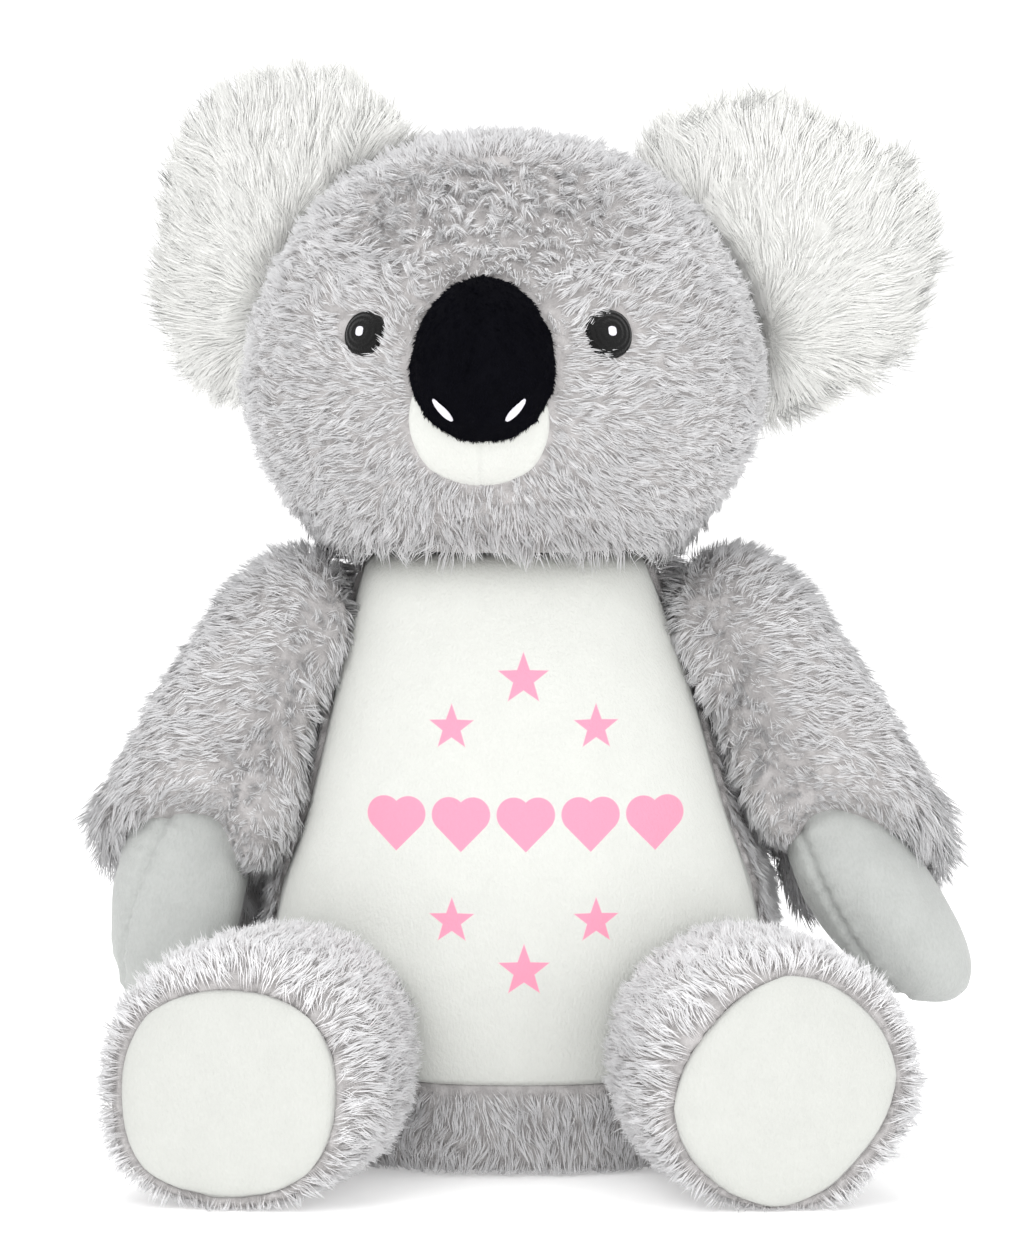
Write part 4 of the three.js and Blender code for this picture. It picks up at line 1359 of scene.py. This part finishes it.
class KoalaArms(bpy.types.Operator):
    """Sleeves with their pile, and the paws"""

    bl_idname = "koala.arms"
    bl_label = "Arms"

    def execute(self, context):
        colours = context.scene.koala_colours
        sizes = context.scene.koala_sizes
        torso = tree_of(forms["torso"])
        cloth = plain_velour("paw_cloth", colours.grey_velour, 0.85)
        for side, sign in SIDES.items():
            form = arm_form(side)
            skin = copied(form, f"sleeve_skin_{side}")
            finished(skin, f"arm_{side}", grey_backing(context),
                     [f"sleeve_{side}", f"arm_stuffing_{side}"])
            arm = arm_frame(side)
            cuff = cuff_frame(side)
            work = opened(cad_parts[f"paw_{side}"].data)
            bmesh.ops.remove_doubles(work, verts=work.verts, dist=1e-6)
            hull = bmesh.ops.convex_hull(work, input=work.verts)
            spare = hull["geom_interior"] + hull["geom_unused"]
            spare = {part for part in spare if isinstance(part, bmesh.types.BMVert)}
            bmesh.ops.delete(work, geom=list(spare), context="VERTS")
            paw = remeshed(named(work, f"paw_velour_{side}"), 2.5 * MM, 5)
            filled(paw, 1.2 * MM)
            paw = subdivided(paw)
            paw_tree = tree_of(paw)

            def crease(points):
                """1 along the crease that runs down the front of the sleeve."""
                x, y, _ = local_mm(points, arm)
                middle = x + CREASE_ASIDE * sign + 2.5 * ripples(points, 30 * MM, 9)
                return np.exp(-(middle / CREASE_HALF) ** 2) * (y < 0)

            def keep(points, normals):
                above = locally(points, cuff)
                turned_in = outward_of(normals, cuff.inverted())
                share = open_to_air(points, normals, [torso], 2.5 * MM)
                edge = 1 - eased(above[:, 2], 0.002, 0.014)
                front = eased(-above[:, 1], 0.004, 0.016)
                aside = eased(np.abs(above[:, 0]), 0.01, 0.022)
                share *= 1 + edge * (0.45 + 0.45 * aside - 0.85 * front) - 0.15 * crease(points)
                under = (above[:, 2] < 0.0015) & (turned_in[:, 2] < -0.7)
                share[under] *= eased(nearest(points[under], paw_tree)[0], 1 * MM, 4 * MM)
                return share

            # Painted shade: the sleeve's pile is darker in specks along its crease, where shade falls in it.
            def tone(points, normals):
                shade_specks = eased(ripples(points, 3.5 * MM, 43), -0.1, 0.5)
                return 0.02 - (0.08 + 0.34 * shade_specks) * crease(points)

            def flow(points, normals):
                x, y, z = local_mm(points, arm)
                aside = 2 * eased(x + CREASE_ASIDE * sign, -6, 6) - 1
                aside *= 0.9 * eased(z, -72, -45) * eased(-y, -10, 10)
                return outward_of(np.stack([aside, 0.1 + 0 * aside, 0 * aside - 0.7], axis=1), arm)

            def lift(points, normals):
                return np.maximum(neck_lift(points, normals), 0.34 + 0.5 * crease(points))

            def sway(points):
                return 0.14 + 0.22 * crease(points)

            pile(f"sleeve_pile_{side}", form, f"arm_{side}", grey(context), 60 + sign,
                 1.1 * sizes.density, sizes.body_pile, sizes.strand_width, flow, keep,
                 lift=lift, sway=sway, tone=tone)

            rolled = arm @ turned(sign * SEAM_TURN[side], "Z")

            def seam(points):
                """Depth of the paw's seam, and of the puckers beside it."""
                _, y, z = local_mm(points, rolled)
                groove = np.exp(-(y / 1.2) ** 2)
                pucker = np.sin(z * 1.3 + 0.9 * np.sin(0.7 * z)) * np.exp(-(y / 6) ** 2)
                return (-1.3 * groove + 0.4 * pucker) * MM

            swollen(paw, seam)
            finished(paw, f"arm_{side}", cloth, [f"paw_{side}"])
        return {"FINISHED"}


class KoalaLegs(bpy.types.Operator):
    """Legs with their pile, and the soles"""

    bl_idname = "koala.legs"
    bl_label = "Legs"

    def execute(self, context):
        colours = context.scene.koala_colours
        sizes = context.scene.koala_sizes
        torso = tree_of(forms["torso"])
        # Painted shade: the soles get a darker copy of the white velour, to hold back the stronger light
        # that falls on them.
        cloth = plain_velour("sole_cloth_shaded", scaled(colours.white_velour, 0.82), 0.76 / 0.82)
        for side, sign in SIDES.items():
            form = leg_form(side)
            leg = leg_frame(side)

            def behind_sole(points):
                x, y, z = local_mm(points, leg)
                return -PANEL_DEPTH * ((past_sole(x, z, side) < 0) & (y < SOLE_FRONT)) - SKIN_DEPTH

            skin = copied(form, f"leg_skin_{side}")
            swollen(skin, behind_sole)
            finished(skin, f"leg_{side}", grey_backing(context),
                     [f"leg_fur_{side}", f"leg_stuffing_{side}"])

            def keep(points, normals):
                x, y, z = local_mm(points, leg)
                share = open_to_air(points, normals, [torso])
                share[(past_sole(x, z, side) < -0.03) & (y < SOLE_FRONT)] = 0
                return share * (1 - 0.6 * eased(-normals[:, 2], 0.6, 0.95))

            def flow(points, normals):
                x, _, z = local_mm(points, leg)
                return outward_of(np.stack([x / 30, 0 * x + 1, (z - 31) / 30], axis=1), leg)

            # Painted light: the legs' pile is lighter where it faces up, as if more light fell on top, over
            # an even lighter tone.
            def tone(points, normals):
                return 0.075 + 0.12 * eased(normals[:, 2], 0, 0.8)

            pile(f"leg_pile_{side}", form, f"leg_{side}", grey(context), 70 + sign, 0.85 * sizes.density,
                 sizes.body_pile, 1.1 * sizes.strand_width, flow, keep, lift=0.42, tone=tone)

            tree = tree_of(form)
            way = outward_of(np.array([[0.0, 1.0, 0.0]]), leg)[0]

            def on_sole(s, t):
                x, z = disc(s, t)
                round_to_square = np.hypot(x, z) / np.maximum(
                    (np.abs(x) ** SQUARE + np.abs(z) ** SQUARE) ** (1 / SQUARE), 1e-9)
                across, up, wide, high, lean = SOLES[side]
                wide = wide * round_to_square
                high = high * round_to_square
                lean = math.radians(lean)
                near = np.stack([
                    across + x * wide * math.cos(lean) - z * high * math.sin(lean),
                    np.full_like(x, -200),
                    up + x * wide * math.sin(lean) + z * high * math.cos(lean)], axis=1) * MM
                places, facing = cast(tree, globally(near, leg), tuple(way))
                crown = 1.5 * MM * (1 - np.clip(x * x + z * z, 0, 1))
                return places - way * crown[:, None], facing

            sole = patch(f"sole_velour_{side}", on_sole, 40, 40, VELOUR_THICKNESS, 1.2 * MM)
            finished(sole, f"leg_{side}", cloth, [f"sole_{side}"])
        return {"FINISHED"}


class KoalaPanel(bpy.types.Panel):
    """Lists the makers of the koala's pieces"""

    bl_idname = "VIEW3D_PT_koala"
    bl_label = "Plush koala"
    bl_space_type = "VIEW_3D"
    bl_region_type = "UI"
    bl_category = "Koala"

    def draw(self, context):
        for operator in OPERATORS:
            self.layout.operator(operator.bl_idname)
        for group in (context.scene.koala_sizes, context.scene.koala_colours):
            for name in group.bl_rna.properties.keys():
                if name not in ("rna_type", "name"):
                    self.layout.prop(group, name)


OPERATORS = (KoalaStage, KoalaTorso, KoalaHead, KoalaFace, KoalaEars, KoalaArms, KoalaLegs)
CLASSES = (KoalaColours, KoalaSizes, *OPERATORS, KoalaPanel)


def register():
    for cls in CLASSES:
        bpy.utils.register_class(cls)
    bpy.types.Scene.koala_colours = PointerProperty(type=KoalaColours)
    bpy.types.Scene.koala_sizes = PointerProperty(type=KoalaSizes)


def unregister():
    del bpy.types.Scene.koala_colours
    del bpy.types.Scene.koala_sizes
    for cls in reversed(CLASSES):
        bpy.utils.unregister_class(cls)


def main():
    """Makes every piece."""
    register()
    bpy.ops.koala.stage()
    bpy.ops.koala.torso()
    bpy.ops.koala.head()
    bpy.ops.koala.face()
    bpy.ops.koala.ears()
    bpy.ops.koala.arms()
    bpy.ops.koala.legs()
    for form in forms.values():
        dropped(form)
    forms.clear()


if __name__ == "__main__":
    main()
